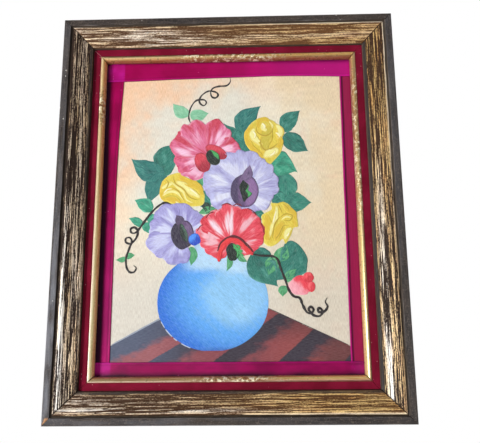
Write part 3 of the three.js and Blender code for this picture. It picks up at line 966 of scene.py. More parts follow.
def ribbon_tone_and_shade(name, edge, along):
    """What the satin reads at each distance from the inner edge: a painted sheen where it lies over another
    strip, paler places and painted highlight, painted shade that dulls it to crimson, and the painted shadows
    of its edge, its fold and the liner, with blotchy tone."""
    fold_shadow, roll_highlight = ROLLED_EDGE[name][1:]
    blotch = smooth(field(along / 26, edge / 9, SIDE_SEEDS[name] + 320), -0.7, 0.7)
    doubled_sheen, pale = 0 * edge, 0 * edge
    # painted shade: a share of duller crimson, from just outside the inner edge outwards
    crimson = DULL_SHADE_SHARE[name] * smooth(edge, 1.0, 2.5)
    to_sight_edge = strip_reach(name, along) - SIGHT_IN - edge
    if name in OVERLAP_SHEEN:
        left, right = crossing("left", name), crossing("right", name)
        doubled_sheen = OVERLAP_SHEEN[name][0] * smooth(-along, left - 2.5, left - 0.5) + 0 * edge
        doubled_sheen = doubled_sheen + OVERLAP_SHEEN[name][1] * smooth(along, right - 2, right)
        # a pale selvage line along the inner edge, stronger where the strips overlap
        pale = hump(edge, 0.7, 0.5) * (0.25 + 0.6 * (doubled_sheen > 0.4))
    doubled_sheen = doubled_sheen * (0.35 + 0.65 * blotch)
    # painted highlight on the rolled edge
    pale = pale + roll_highlight * smooth(ROLL_WIDTH + 0.5 - edge, 0, 0.8)
    # painted sheen: the top strip paler towards its right, the bottom strip a little paler all over
    painted_sheen = {"top": smooth(along, -50, 170) * 0.45, "bottom": 0.12}.get(name, 0.0)
    pale = np.clip(pale + painted_sheen, 0, 1)
    # painted shadow in the fold beside the roll
    past_fold = smooth(edge, ROLL_WIDTH + 1.6, ROLL_WIDTH + FOLD_WIDTH * 0.7)
    shade_and_blotch = fold_shadow * smooth(edge, ROLL_WIDTH - 0.2, ROLL_WIDTH + 0.5) * (1 - past_fold)
    # painted shadow along the inner edge
    shade_and_blotch = shade_and_blotch + 0.5 * hump(edge, 0, 0.35)
    # blotchy tone, with painted shade darkening the bottom and left strips overall
    shade_and_blotch = shade_and_blotch + BLOTCH_AND_SHADE.get(name, 0.0) * (0.4 + 0.6 * (1 - blotch))
    # left strip: paler towards the bottom, and a painted shadow band beside the bead, wider lower down
    if name == "left":
        pale = pale + 0.22 * smooth(-along, -60, 160)
        shade_and_blotch = shade_and_blotch + 0.95 * (1 - smooth(to_sight_edge, 4.5, 10.5 - 3.0 * smooth(along, 0, 200)))
    # level strips: painted shadow beside the bead, widening towards the right on the top strip
    if name in OVERLAP_SHEEN:
        shade_width = 3.0 + 5.0 * smooth(along, -100, 150) if name == "top" else 8.0
        shade_and_blotch = shade_and_blotch + 0.7 * (1 - smooth(to_sight_edge, -1.5, shade_width))
    # top strip: painted shadow at its left end under the bead, and painted shade darker towards the left
    if name == "top":
        shade_and_blotch = shade_and_blotch + 0.7 * smooth(-along, 191.5, 194.5) + 0.14 * smooth(-along, -50, 100)
    # bottom strip: duller crimson painted shade beyond where it crosses the right strip
    if name == "bottom":
        crimson = crimson + 0.95 * smooth(along, right + 6, right + 7.5)
    values = {"doubled_sheen": doubled_sheen, "pale": pale, "deep": np.clip(shade_and_blotch, 0, 1), "crimson": crimson}
    return {key: value.ravel() for key, value in values.items()}


def ribbon_strip(name):
    """A closed band: front, rounded inner edge, back and outer edge, carried along the strip.
    The front is the layer's depth less a round roll at the inner edge, plus a shallow fold
    beside it, plus slow waves."""
    level = name in OVERLAP_SHEEN
    sign = 1 if name in ("top", "right") else -1
    outer, end = (END_Z, END_X) if level else (END_X, END_Z)
    half_frame = FRAME_HEIGHT / 2 if level else FRAME_WIDTH / 2
    seed = SIDE_SEEDS[name] + 300
    along = np.linspace(-end, end, int(end))[None, :]
    width = strip_reach(name, along) - (half_frame - outer) + 0.18 * field(along / 22, 0 * along, seed)
    share = np.linspace(0, 1, 12)[1:, None]
    edge = np.concatenate([NEAR_EDGE + 0 * width, NEAR_EDGE[-1] + (width - NEAR_EDGE[-1]) * share])
    roll_up = ROLLED_EDGE[name][0]
    roll = roll_up * np.sqrt(np.clip(1 - ((edge - ROLL_WIDTH / 2) / (ROLL_WIDTH / 2)) ** 2, 0, 1))
    fold = 0.22 * hump(edge - ROLL_WIDTH - 1.4, 0, 1.3)
    round_off = 0.5 * np.clip(1 - edge / 0.5, 0, 1) ** 2
    wave = 0.14 * smooth(field(edge / 16, along / 30, seed + 10, 3), -0.4, 0.9)
    layer_front = STRIP_DEEP if level else UNDER_STRIP_DEEP
    front = layer_front - roll + fold * (roll_up + 0.2) + round_off + wave
    back_deep = PANEL_DEEP - GAP + 0 * along
    if level:
        over = (along < 0.6 - crossing("left", name)) | (along > crossing("right", name) - 0.6)
        back_deep = np.where(over, STRIP_DEEP + RIBBON_LAYER, back_deep)
    edge = np.concatenate([edge, width, 0.7 * width, 0.3 * width, 0 * width])
    behind = np.concatenate([front] + [back_deep] * 4)
    across = sign * (outer - width + edge)
    along = along + 0 * edge
    x, z = (along, across) if level else (across, along)
    points = np.stack([x, FRONT + behind, CENTRE_Z + z], axis=-1).reshape(-1, 3)
    quads, caps = band_faces(*edge.shape, flip=(sign > 0) != level)
    uv = np.stack([edge, along], axis=-1).reshape(-1, 2)
    values = ribbon_tone_and_shade(name, edge, along)
    piece = make_piece(f"satin_strip_{name}", points, quads, caps, uv, [SATIN], values=values)
    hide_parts(f"ribbon_{name}")


for strip in INNER_EDGE:
    ribbon_strip(strip)

# ------------------------------------------------------------------ painting: films of paint

PICTURE_X = 5.0  # middle of the part that shows between the strips
PICTURE_Z = CENTRE_Z + 1.8
BED = -0.02  # height of a film's rim and underside, just in the canvas


def film(points, quads, caps, uv, colour):
    """One film of paint: its points, faces, closing faces, stroke places and colours."""
    return {"points": points, "quads": quads, "caps": caps, "uv": uv, "colour": colour}


def lay(name, films, material):
    """A piece of one or more films, numbered on from each other."""
    starts = np.cumsum([0] + [len(one["points"]) for one in films[:-1]])
    joined = {key: np.concatenate([one[key] for one in films]) for key in ("points", "uv", "colour")}
    quads = np.concatenate([one["quads"] + start for one, start in zip(films, starts)])
    caps = [np.asarray(cap) + start for one, start in zip(films, starts) for cap in one["caps"]]
    piece = make_piece(name, joined["points"], quads, caps, joined["uv"], [material], colour=joined["colour"])


def on_canvas(x, z, height):
    """Points of the picture, from its middle, lifted towards the front by a height."""
    points = np.broadcast_arrays(PICTURE_X + x, FRONT + PANEL_DEEP - height, PICTURE_Z + z)
    return np.stack(points, axis=-1).reshape(-1, 3)


def rim_steps(count):
    """Even steps from 0 to 1 with the last one drawn close to 1, for a steep rim."""
    return np.concatenate([np.linspace(0, 0.985, count - 1), [1.0]])


def both_ways(count):
    """Steps from -1 to 1, drawn close at both ends."""
    steps = rim_steps(count)
    return np.concatenate([-steps[:0:-1], steps])


def patch(x, z, height, colour, stroke):
    """A film on a four-sided grid, rows towards +z and columns towards +x, with its rim on the
    canvas and one face below. The stroke gives (across, along) the brush for each point."""
    rows, columns = x.shape
    height = height + 0 * x
    for edge in (np.s_[0, :], np.s_[-1, :], np.s_[:, 0], np.s_[:, -1]):
        height[edge] = BED
    index = np.arange(rows * columns).reshape(rows, columns)
    loop = np.concatenate([index[0], index[1:, -1], index[-1, -2::-1], index[-2:0:-1, 0]])
    uv = np.stack(np.broadcast_arrays(*stroke), axis=-1).reshape(-1, 2)
    return film(on_canvas(x, z, height), grid_faces(rows, columns), [loop[::-1]], uv, colour.reshape(-1, 3))


def blob(middle, radius, height, colour, turn=0.0, rings=16, spokes=72):
    """A round film: x = a s cos(angle), z = b s sin(angle), turned, where (a, b) is the radius
    times a wavy share; height and colour are functions of (angle, s)."""
    angle = np.linspace(0, 2 * np.pi, spokes, endpoint=False)[:, None]
    s = np.concatenate([[0.03], rim_steps(rings)[1:]])[None, :]
    share = radius[2](angle) if len(radius) > 2 else 1.0
    a, b = radius[0] * share * s * np.cos(angle), radius[1] * share * s * np.sin(angle)
    x = middle[0] + a * math.cos(turn) - b * math.sin(turn)
    z = middle[1] + a * math.sin(turn) + b * math.cos(turn)
    lift = height(angle, s) + 0 * x
    lift[:, -1] = BED
    uv = np.stack(np.broadcast_arrays(a * 0.8 + b * 0.3, b), axis=-1).reshape(-1, 2)
    tone = np.broadcast_to(colour(angle, s), (*x.shape, 3)).reshape(-1, 3)
    return film(on_canvas(x, z, lift), *band_faces(*x.shape), uv, tone)


def smooth_path(corners, per_span=8):
    """A curve through the corners: on each span a cubic whose slope at a corner is half the
    difference of its two neighbours."""
    p = np.asarray(corners, float)
    p = np.concatenate([2 * p[:1] - p[1:2], p, 2 * p[-1:] - p[-2:-1]])
    t = np.linspace(0, 1, per_span, endpoint=False)[None, :, None]
    a, b, c, d = (p[i : len(p) - 3 + i][:, None] for i in range(4))
    square, cube = a - 2.5 * b + 2 * c - d / 2, 1.5 * (b - c) + (d - a) / 2
    spans = b + t * (c - a) / 2 + t**2 * square + t**3 * cube
    return np.concatenate([spans.reshape(-1, 2), p[-2:-1]])


def course_through(corners, per_span=8):
    """A smooth path through the corners, how far along it each point lies, and its direction."""
    path = smooth_path(corners, per_span)
    way = np.gradient(path, axis=0)
    way /= np.maximum(np.linalg.norm(way, axis=1, keepdims=True), 1e-9)
    return path, lengths_to(path), way


def line(corners, width, height, colour, base=0.0, taper=(0.3, 0.3), waver=0.22):
    """A loaded brush line through the corners: half an ellipse across, on a flat underside,
    with its width tapered at both ends and wavering a little."""
    path, along, way = course_through(corners)
    share = along / along[-1]
    ends = np.minimum(1, np.minimum(share / 0.12 + taper[0], (1 - share) / 0.12 + taper[1]))
    seed = int(abs(path.sum()) * 7) % 9973
    half = width / 2 * ends * (1 + waver * field(along / 5, 0 * along, seed))
    turn = np.linspace(0, np.pi, 7)
    side = np.concatenate([np.cos(turn), [-0.5, 0.5]])[:, None]
    lift = np.concatenate([np.sin(turn) ** 0.7, [0, 0]])[:, None] * height * np.sqrt(ends) + base
    lift = np.where(np.abs(side) >= 1, base - 0.15, lift)
    lift[-2:] = base - 0.15
    x = path[:, 0] - way[:, 1] * side * half
    z = path[:, 1] + way[:, 0] * side * half
    streak = 1 + 0.14 * field(side * 2.5 + seed, along / 9, seed + 1)
    tone = np.clip(colour * streak[..., None], 0, 1).reshape(-1, 3)
    uv = np.stack(np.broadcast_arrays(side * half, along), axis=-1).reshape(-1, 2)
    return film(on_canvas(x, z, lift), *band_faces(*x.shape, flip=True), uv, tone)


def wash(shape, *tones):
    """The first tone over the whole shape, then each (tone, share) laid over it."""
    result = np.broadcast_to(tones[0], (*shape, 3))
    for tone, share in tones[1:]:
        result = mixed(result, tone, np.clip(share, 0, 1))
    return result


# ------------------------------------------------------------------ painting: ground and table

EDGE_X, EDGE_Z = (-183.5, 176.5), (-232.0, 223.0)  # just under the strips
TABLE_LEFT, TABLE_RIGHT = (-181.0, -205.8, 0.53), (53.0, -152.0, -0.467)  # x, z and slope
PLANK_START, PLANK_WIDTH = -129, 97  # along the front
FLOWERS_MIDDLE, FLOWERS_REACH = (4.0, 56.0), (106.0, 84.0, 104.0)  # the reach is left, right and up


def ground():
    """Peach at the upper left through cream to straw at the right, with a grey-white glow
    round the flowers, laid on with crossing strokes."""
    x = np.linspace(*EDGE_X, 236)[None, :] + np.zeros((296, 1))
    z = np.linspace(*EDGE_Z, 296)[:, None] + 0 * x
    cloud, dab = field(x / 62, z / 48, 401), field(x / 22, z / 26, 402)
    reach = np.where(x < FLOWERS_MIDDLE[0], *FLOWERS_REACH[:2])
    spread = np.hypot((x - FLOWERS_MIDDLE[0]) / reach, (z - FLOWERS_MIDDLE[1]) / FLOWERS_REACH[2])
    halo = smooth(1.95 - spread + 0.35 * dab, 0, 0.8) * smooth(z, -160, 40)
    blush = np.exp(-(((x + 168) / 22) ** 2) - ((z + 98) / 26) ** 2)
    patches = smooth(dab + 0.3 * cloud, 0.2, 0.7) * smooth(x, 40, 110)
    low_left = smooth(-z, -10, 150) * (1 - 0.2 * smooth(x, -60, 120))
    tone = wash(
        x.shape,
        rgb(242, 229, 204),
        (rgb(240, 200, 165), smooth(-x / 150 + z / 130 + 0.5 * cloud + 0.3 * dab, 0.5, 1.7)),
        (rgb(232, 211, 174), 0.85 * smooth(x / 150 + 0.6 * cloud - 0.25 * dab, 0.1, 0.9)),
        (rgb(240, 206, 170), 0.5 * blush + 0.55 * patches),
        (rgb(210, 208, 200), 0.8 * low_left),
        (rgb(220, 228, 220), 0.75 * halo * (1 - 0.65 * smooth(x, 5, 60))),
    )
    level, upright = field(x / 30, z / 3.0, 403), field(x / 3.2, z / 26, 404)
    stroke = np.where(field(x / 24, z / 24, 405, 1) > 0, level, upright)
    broad = field(x / 34, z / 7, 407)
    tone = tone * (1 + 0.028 * stroke + 0.024 * broad + 0.012 * field(x / 7, z / 7, 406))[..., None]
    return patch(x, z, 0.12 + 0.04 * stroke, tone, (x, z))


def table_edge(edge, x):
    """How high one edge of the table lies at x."""
    return edge[1] + (x - edge[0]) * edge[2]


def table_top():
    """A table whose corner points away. Each plank has a crisp lower edge, found by following
    its slope down to the front, above which its tone goes softly from slate to red-brown."""
    columns, rows = 230, 72
    x = np.linspace(*EDGE_X, columns)[None, :] + np.zeros((rows, 1))
    edge = np.minimum(table_edge(TABLE_LEFT, x), table_edge(TABLE_RIGHT, x)) + 0.5 * field(x / 14, 0 * x, 411)
    z = EDGE_Z[0] + (edge - EDGE_Z[0]) * rim_steps(rows)[:, None]
    foot = x
    for _ in range(6):
        foot = x - (z - EDGE_Z[0]) / (0.56 + 0.0016 * (foot - PLANK_START))
    rough = field(x / 12, z / 6, 412) + 0.5 * field(x / 4, z / 3, 413)
    count = (foot - PLANK_START) / PLANK_WIDTH + 0.006 * rough
    plank = np.mod(count, 1)
    slate = wash(x.shape, rgb(84, 92, 114), (rgb(62, 56, 68), smooth(x, -150, -20)))
    red = wash(
        x.shape,
        rgb(154, 94, 100),
        (rgb(136, 72, 80), smooth(x, -130, -20)),
        (rgb(150, 76, 76), smooth(x, 0, 110)),
        (rgb(104, 62, 64), 0.9 * smooth(x, 105, 150)),
    )
    tone = wash(
        x.shape,
        slate,
        (red, smooth(plank + 0.12 * rough, 0.3, 0.66) * (count > -1)),
        (rgb(52, 46, 54), 0.5 * smooth(x, 40, 90) * smooth(z, -215, -170)),
    )
    tone = tone * (1 + 0.05 * field(x / 7, z / 4, 414))[..., None]
    top = patch(x, z, 0.19 + 0.015 * np.clip(rough, -1.5, 1.5), tone, (z, x))
    rim = [(u, table_edge(TABLE_LEFT, u) + 0.6) for u in np.linspace(EDGE_X[0] + 4, -98.0, 12)]
    pale_edge = line(rim, 2.6, 0.05, rgb(150, 160, 176), 0.15)
    rim = [(u, table_edge(TABLE_RIGHT, u)) for u in np.linspace(50, EDGE_X[1] - 4, 12)]
    dark_edge = line(rim, 1.2, 0.05, rgb(66, 56, 58), 0.15)
    lay("table_paint", [top], TABLE_PAINT)
    lay("table_edge_lines", [pale_edge, dark_edge], LINE_PAINT)


VASE_MIDDLE, VASE_RADIUS = (-29.0, -142.0), (83.5, 73.0)
NECK_HALF_WIDTH, NECK_TOP = 28.0, -40.0
FOOT_DABS = ((203, 211), (213, 224), (226, 231), (236, 247))  # first and last angle of each


def vase():
    """A round body with a short wide neck: half-width is the circle's, or the neck's above it.
    Blue at the left and low, light at the right, with a pale shoulder and hatched strokes."""
    low = VASE_MIDDLE[1] - VASE_RADIUS[1]
    share = both_ways(64)[None, :]
    z = (low + (NECK_TOP - low) * rim_steps(140))[:, None] + 0 * share
    nz = (z - VASE_MIDDLE[1]) / VASE_RADIUS[1]
    body = VASE_RADIUS[0] * np.sqrt(np.clip(1 - np.abs(nz) ** 2.15, 0, 1))
    body = body * (1 - 0.04 * smooth(-nz, 0.4, 1))
    neck = NECK_HALF_WIDTH * smooth(z, -86, -72) + 4 * smooth(z, -60, -40)
    x = VASE_MIDDLE[0] + (np.maximum(body, neck) + 0.6) * share
    nx = (x - VASE_MIDDLE[0]) / VASE_RADIUS[0]
    hatch = field((x + z) / 4.5, (x - z) / 34, 421) + 0.5 * field((x - z) / 4, (x + z) / 30, 422)
    shade = np.hypot((nx - 0.42) / 1.35, (nz - 0.12) / 1.25) + 0.08 * hatch
    shoulder = smooth(z + 0.10 * (x + 29) + 4 * field(x / 12, z / 12, 423), -104, -86)
    tone = wash(
        x.shape,
        rgb(141, 200, 245),
        (rgb(86, 164, 240), smooth(shade, 0.3, 0.66)),
        (rgb(28, 108, 214), smooth(shade, 0.62, 1.08)),
        (rgb(190, 224, 246), 0.85 * shoulder * smooth(nx, -0.75, -0.25)),
        (rgb(176, 222, 252), 0.35 * smooth(0.3 - np.hypot(nx - 0.5, nz + 0.25) + 0.1 * hatch, 0, 0.3)),
        (rgb(40, 80, 150), 0.6 * smooth(-nz, 0.88, 1.0) * smooth(nx, -0.5, 0.2)),
    )
    tone = tone * (1 + 0.085 * hatch)[..., None]
    lay("vase_paint", [patch(x, z, 0.24 + 0.02 * hatch, tone, ((x + z) * 0.7, (x - z) * 0.7))], BODY_PAINT)
    dabs = []
    for first, last in FOOT_DABS:
        turn = np.radians(np.linspace(first, last, 5))
        rim_x = VASE_MIDDLE[0] + (VASE_RADIUS[0] + 0.4) * np.cos(turn)
        rim_z = VASE_MIDDLE[1] + (VASE_RADIUS[1] + 0.6) * np.sin(turn)
        dabs.append(line(np.stack([rim_x, rim_z], axis=-1), 1.5, 0.06, rgb(188, 200, 218), 0.26))
    lay("vase_foot_dabs", dabs, LINE_PAINT)


# ------------------------------------------------------------------ painting: leaves and vines

TEAL = rgb(34, 120, 106), rgb(22, 88, 82), rgb(96, 172, 160)
BLUE_TEAL = rgb(36, 118, 112), rgb(24, 92, 92), rgb(84, 160, 150)
SEA_TEAL = rgb(46, 136, 118), rgb(28, 98, 90), rgb(108, 182, 164)
GREEN_TEAL = rgb(52, 158, 128), rgb(32, 116, 96), rgb(128, 206, 176)
LIGHT_GREEN = rgb(132, 198, 160), rgb(104, 176, 138), rgb(180, 222, 196)
MID_GREEN = rgb(78, 164, 112), rgb(48, 124, 78), rgb(136, 204, 152)
DARK_GREEN = rgb(30, 50, 50), rgb(16, 32, 34), rgb(60, 108, 88)

# Base, tip, width, bend to the left as a share of the length, tones.
LEAVES = [
    ((-106, 57), (-159, 85), 33, 0.1, BLUE_TEAL),
    ((-108, 56), (-79, 110), 38, 0.16, TEAL),
    ((-106, 60), (-129, 9), 30, -0.1, BLUE_TEAL),
    ((16, 118), (49, 170), 34, 0.16, BLUE_TEAL),
    ((12, 74), (14, 140), 36, 0.0, TEAL),
    ((20, 108), (-12, 142), 26, 0.1, TEAL),
    ((83, 126), (111, 161), 27, 0.1, TEAL),
    ((84, 121), (122, 92), 30, -0.05, TEAL),
    ((58, 60), (104, 57), 40, 0.3, GREEN_TEAL),
    ((74, 60), (80, 2), 38, 0.14, SEA_TEAL),
    ((62, 14), (92, 14), 26, 0.0, TEAL),
    ((82, 10), (124, 9), 31, 0.0, SEA_TEAL),
    ((34, -4), (54, -18), 16, 0.0, TEAL),
    ((-46, 30), (-36, -4), 24, 0.0, TEAL),
    ((38, -62), (70, -121), 46, -0.12, TEAL),
    ((96, -52), (62, -112), 46, 0.2, TEAL),
    ((66, -80), (84, -56), 21, -0.12, MID_GREEN),
    ((70, -76), (55, -104), 22, -0.1, MID_GREEN),
    ((82, -113), (98, -94), 13, 0.1, MID_GREEN),
    ((79, -119), (76, -136), 14, -0.1, MID_GREEN),
    ((-68, 155), (-94, 177), 20, 0.1, LIGHT_GREEN),
    ((-66, 155), (-36, 159), 21, -0.04, LIGHT_GREEN),
    ((-123, 0), (-152, 17), 21, -0.06, GREEN_TEAL),
    ((-138, -24), (-160, -12), 13, -0.06, GREEN_TEAL),
    ((-137, -22), (-120, -38), 17, 0.1, GREEN_TEAL),
    ((-130, -18), (-114, -8), 14, 0.1, GREEN_TEAL),
    ((-161, -74), (-178, -77), 8, 0.1, MID_GREEN),
    ((-162, -74), (-148, -70), 9, 0.1, MID_GREEN),
    ((-56, 52), (-22, 42), 25, 0.1, MID_GREEN),
    ((-22, -1), (-54, -8), 12, -0.1, MID_GREEN),
    ((-36, -6), (-52, 10), 12, -0.25, DARK_GREEN),
    ((-62, -58), (-63, -88), 14, 0.1, MID_GREEN),
    ((-5, -72), (-9, -97), 9, 0.15, MID_GREEN),
    ((10, -68), (25, -82), 9, -0.2, MID_GREEN),
]


def leaf(base, tip, width, bend, tones, seed, height):
    """Along s and across t from the right edge (-1) to the left (1): the middle line bows by
    bend times 4s(1 - s); the half-width is sin(pi s^0.75), blunt at the base and drawn out to a
    point at the tip, with a wavy edge."""
    body, dark, light = tones
    s = np.concatenate([[0.0], np.linspace(0.02, 0.98, 34), [1.0]])[None, :]
    t = both_ways(10)[:, None]
    base, tip = np.array(base, float), np.array(tip, float)
    length = np.linalg.norm(tip - base)
    way = (tip - base) / length
    half = width / 2 * np.sin(np.pi * s**0.75) ** (0.7 + 0.7 * s**2) + 0.4 * (1 - s)
    half = half * (1 + 0.09 * field(s * 6, np.sign(t) * 3, seed))
    off = bend * length * 4 * s * (1 - s) + t * half
    x = base[0] + way[0] * length * s - way[1] * off
    z = base[1] + way[1] * length * s + way[0] * off
    slanted = s * 3 - np.abs(t) * 1.2
    brushed = field(slanted * 2, t * 2 + 5, seed + 1) + 0.5 * field(slanted * 6, t * 3, seed + 2)
    rim = smooth(np.abs(t), 0.78, 0.97)
    rib = np.exp(-((t / 0.08) ** 2)) * smooth(s, 0.02, 0.2) * (1 - smooth(s, 0.7, 0.95))
    broken = smooth(field(s * 5, 0 * t + 7, seed + 4), -0.5, 0.4)
    tone = wash(
        x.shape,
        body,
        (light, 0.55 * smooth(brushed, 0.2, 1.0)),
        (dark, 0.75 * smooth(-brushed, 0.05, 0.8)),
        (dark, 0.6 * rim * broken),
        (light, 0.5 * rim * (1 - broken)),
        (dark, 0.55 * rib * broken),
        (light, 0.35 * rib * (1 - broken)),
    )
    lift = height + 0.03 * brushed - 0.04 * rib + 0.03 * rim
    return patch(x, z, lift, tone, (off, s * length))


VINE_TONE = rgb(34, 28, 32)
# Width, height of the bed it lies on, and its corners.
VINES = {
    "top": (2.9, 0.15, [
        (-2, 221), (-1, 213), (-7, 206), (-19, 205), (-29, 202), (-33, 195), (-31, 187), (-25, 185),
        (-21, 190), (-25, 195), (-36, 197), (-46, 191), (-51, 183), (-50, 176), (-44, 172), (-40, 177),
        (-44, 182), (-56, 181), (-64, 171), (-68, 157), (-67, 147), (-62, 138),
    ]),
    "left": (3.2, 0.6, [
        (-88, 6), (-94, 9), (-104, 12), (-116, 5), (-128, -8), (-140, -25), (-148, -35), (-155, -35),
        (-156, -29), (-150, -27), (-145, -33), (-147, -43), (-155, -52), (-163, -50), (-163, -44),
        (-157, -43), (-154, -49), (-158, -61), (-162, -75), (-161, -88), (-156, -96), (-149, -96),
        (-146, -90), (-150, -86),
    ]),
    "right": (3.4, 0.8, [
        (22, -68), (42, -73), (60, -74), (69, -79), (74, -94), (80, -110), (85, -125), (92, -135),
        (101, -138), (105, -148), (111, -159), (118, -160), (121, -155), (117, -151), (114, -155),
        (120, -163), (129, -165), (134, -160), (132, -154), (128, -154), (129, -159), (137, -158),
        (142, -151), (139, -144), (142, -138),
    ]),
}


def leaves_and_vines():
    """All leaves, then the vines over them."""
    leaves = [
        leaf(base, tip, width, bend, tones, 500 + 10 * number, 0.32 + 0.004 * number)
        for number, (base, tip, width, bend, tones) in enumerate(LEAVES)
    ]
    lay("leaf_paint", leaves, BODY_PAINT)
    for name, (width, bed, corners) in VINES.items():
        lay(f"vine_{name}", [line(corners, width, 0.35, VINE_TONE, bed, waver=0.35)], LINE_PAINT)


# ------------------------------------------------------------------ painting: flowers


def distance_to_outline(heart, middle, radius, angle):
    """From the heart to the ellipse round the middle, along an angle: the positive root of
    the quadratic |(heart + r way - middle) / radius| = 1."""
    way_x, way_z = np.cos(angle) / radius[0], np.sin(angle) / radius[1]
    from_x, from_z = (heart[0] - middle[0]) / radius[0], (heart[1] - middle[1]) / radius[1]
    a = way_x**2 + way_z**2
    b = way_x * from_x + way_z * from_z
    c = from_x**2 + from_z**2 - 1
    return (-b + np.sqrt(b * b - a * c)) / a


def petal(flower, start, end, reach, white, seed, height):
    """Across t between two angles and out along s from the heart: the outer edge is the
    flower's outline times the petal's reach, rounded at its corners and scalloped.
    Streaks run out from the heart, bending a little, pale in the petal's belly."""
    deep_tone, body, pale = flower["tones"]
    t = (np.concatenate([[0, 0.012], np.linspace(0.04, 0.96, 44), [0.988, 1]]))[:, None]
    s = np.concatenate([[0.0], rim_steps(38)[1:]])[None, :]
    swing = math.radians(7 * math.sin(seed * 1.7))
    angle = np.radians(start - 4 + (end - start + 8) * t) + swing * s**2 * (1 - np.abs(2 * t - 1) ** 2)
    outline = distance_to_outline(flower["heart"], flower["middle"], flower["radius"], angle) * reach
    corner = 1 - flower["notch"] * np.abs(2 * t - 1) ** 4
    scallop = 1 + 0.022 * np.sin(2 * np.pi * t * 2.5 + seed) + 0.045 * field(t * 4, 0 * t, seed)
    scallop = scallop + 0.018 * field(t * 11, 0 * t, seed + 5)
    radius = outline * corner * scallop * (0.03 + 0.97 * s)
    x = flower["heart"][0] + radius * np.cos(angle)
    z = flower["heart"][1] + radius * np.sin(angle)
    streak = field(t * 4.5 + 0.5 * np.sin(2.4 * s + seed), s * 1.3, seed + 1)
    streak = streak + 0.4 * field(t * 15, s * 3.0, seed + 2)
    belly = smooth(s, 0.2, 0.5) * (1 - smooth(s, 0.6, 0.95))
    middle = 1 - np.abs(2 * t - 1 + 0.25 * math.sin(seed)) ** 2
    side = smooth(np.abs(2 * t - 1) + 0.12 * streak, 0.74, 0.96)
    tone = wash(
        x.shape,
        body,
        (pale, white * smooth(1.15 * streak + 1.0 * belly * np.clip(middle, 0, 1) - 0.3, 0.0, 1.0)),
        (deep_tone, 0.85 * smooth(-1.2 * streak - 0.3 * belly, 0.0, 0.85) * flower["contrast"]),
        (deep_tone, 0.7 * smooth(s, 0.9, 1.0) * smooth(field(t * 6, 0 * s, seed + 3), -0.5, 0.5)),
        (deep_tone, 0.6 * side * flower["contrast"]),
        (pale, 0.4 * smooth(s, 0.93, 0.97) * smooth(field(t * 5, 0 * s, seed + 4), 0.1, 0.5)),
        (deep_tone, 0.3 * (1 - smooth(s, 0.05, 0.3))),
    )
    lift = height + 0.08 * np.clip(middle, 0, 1) * smooth(s, 0, 0.4)
    lift = lift + 0.03 * streak + 0.04 * smooth(s, 0.7, 0.93)
    return patch(x, z, lift, tone, (angle * outline * 0.6, radius))


# Each petal: its first and last angle, its reach and how white its belly is.
FLOWERS = {
    "rose_red": {
        "middle": (-42, 95), "radius": (55, 51), "heart": (-36, 87),
        "base": 0.72, "contrast": 1.0, "notch": 0.3,
        "tones": (rgb(200, 46, 70), rgb(220, 110, 150), rgb(248, 206, 232)),
        "petals": [
            (206, 262, 1.0, 0.7), (172, 218, 0.97, 0.9), (134, 182, 1.03, 0.9), (92, 142, 1.04, 0.7),
            (-24, 46, 1.02, 0.9), (38, 94, 1.05, 0.9),
        ],
    },
    "lilac_upper": {
        "middle": (14, 41), "radius": (57, 52), "heart": (19, 31),
        "base": 0.84, "contrast": 0.7, "notch": 0.18,
        "tones": (rgb(142, 134, 198), rgb(184, 186, 228), rgb(226, 230, 248)),
        "petals": [
            (176, 240, 1.03, 0.9), (234, 306, 0.98, 0.6), (136, 186, 1.04, 1.0), (98, 140, 1.06, 0.7),
            (-60, -6, 1.04, 0.9), (56, 104, 1.06, 0.9), (-12, 32, 1.06, 0.8), (24, 66, 1.02, 0.7),
        ],
    },
    "lilac_lower": {
        "middle": (-85, -38), "radius": (45, 48), "heart": (-76, -40),
        "base": 0.72, "contrast": 0.8, "notch": 0.24,
        "tones": (rgb(132, 122, 192), rgb(166, 164, 220), rgb(212, 218, 246)),
        "petals": [
            (10, 64, 1.1, 0.9), (56, 108, 1.06, 0.8), (100, 150, 1.06, 1.0), (142, 180, 1.0, 0.9),
            (174, 232, 1.03, 0.7), (224, 292, 1.0, 0.8),
        ],
    },
    "scarlet": {
        "middle": (-2, -37), "radius": (52, 42), "heart": (0, -56),
        "base": 0.96, "contrast": 0.8, "notch": 0.19,
        "tones": (rgb(204, 34, 52), rgb(230, 74, 94), rgb(246, 222, 234)),
        "petals": [
            (-44, 0, 1.0, 0.5), (186, 240, 1.04, 0.3), (142, 194, 1.0, 0.6), (-8, 44, 1.0, 0.9),
            (106, 152, 1.02, 1.0), (34, 82, 1.03, 0.6), (74, 116, 1.04, 1.0),
        ],
    },
}


def two_tones(dark, light, seed, turn=0.0, split=0.3, rim=0.8):
    """A colour function for a round film: light on one side, dark on the other and at the rim."""

    def colour(angle, s):
        brushed = field(4 + s * np.cos(angle) * 3, 4 + s * np.sin(angle) * 1.5, seed)
        lit = smooth(s * np.cos(angle - turn) + 0.4 * brushed, -split, 0.5)
        return wash(lit.shape, dark, (light, lit), (dark, rim * smooth(s, 0.84, 0.97) + 0 * angle))

    return colour


def domed(base, rise, seed):
    """A height function for a round film: a low dome with brush ridges."""
    return lambda angle, s: base + rise * (1 - s**2) + 0.05 * field(angle * 3, s * 5, seed)


def wavy(seed, size=0.06, lobes=4.0):
    """A share of the radius that wanders smoothly and meets itself after a whole turn."""
    reach = lobes / 2
    return lambda angle: 1 + size * field(2 + np.cos(angle) * reach, 2 + np.sin(angle) * reach, seed)


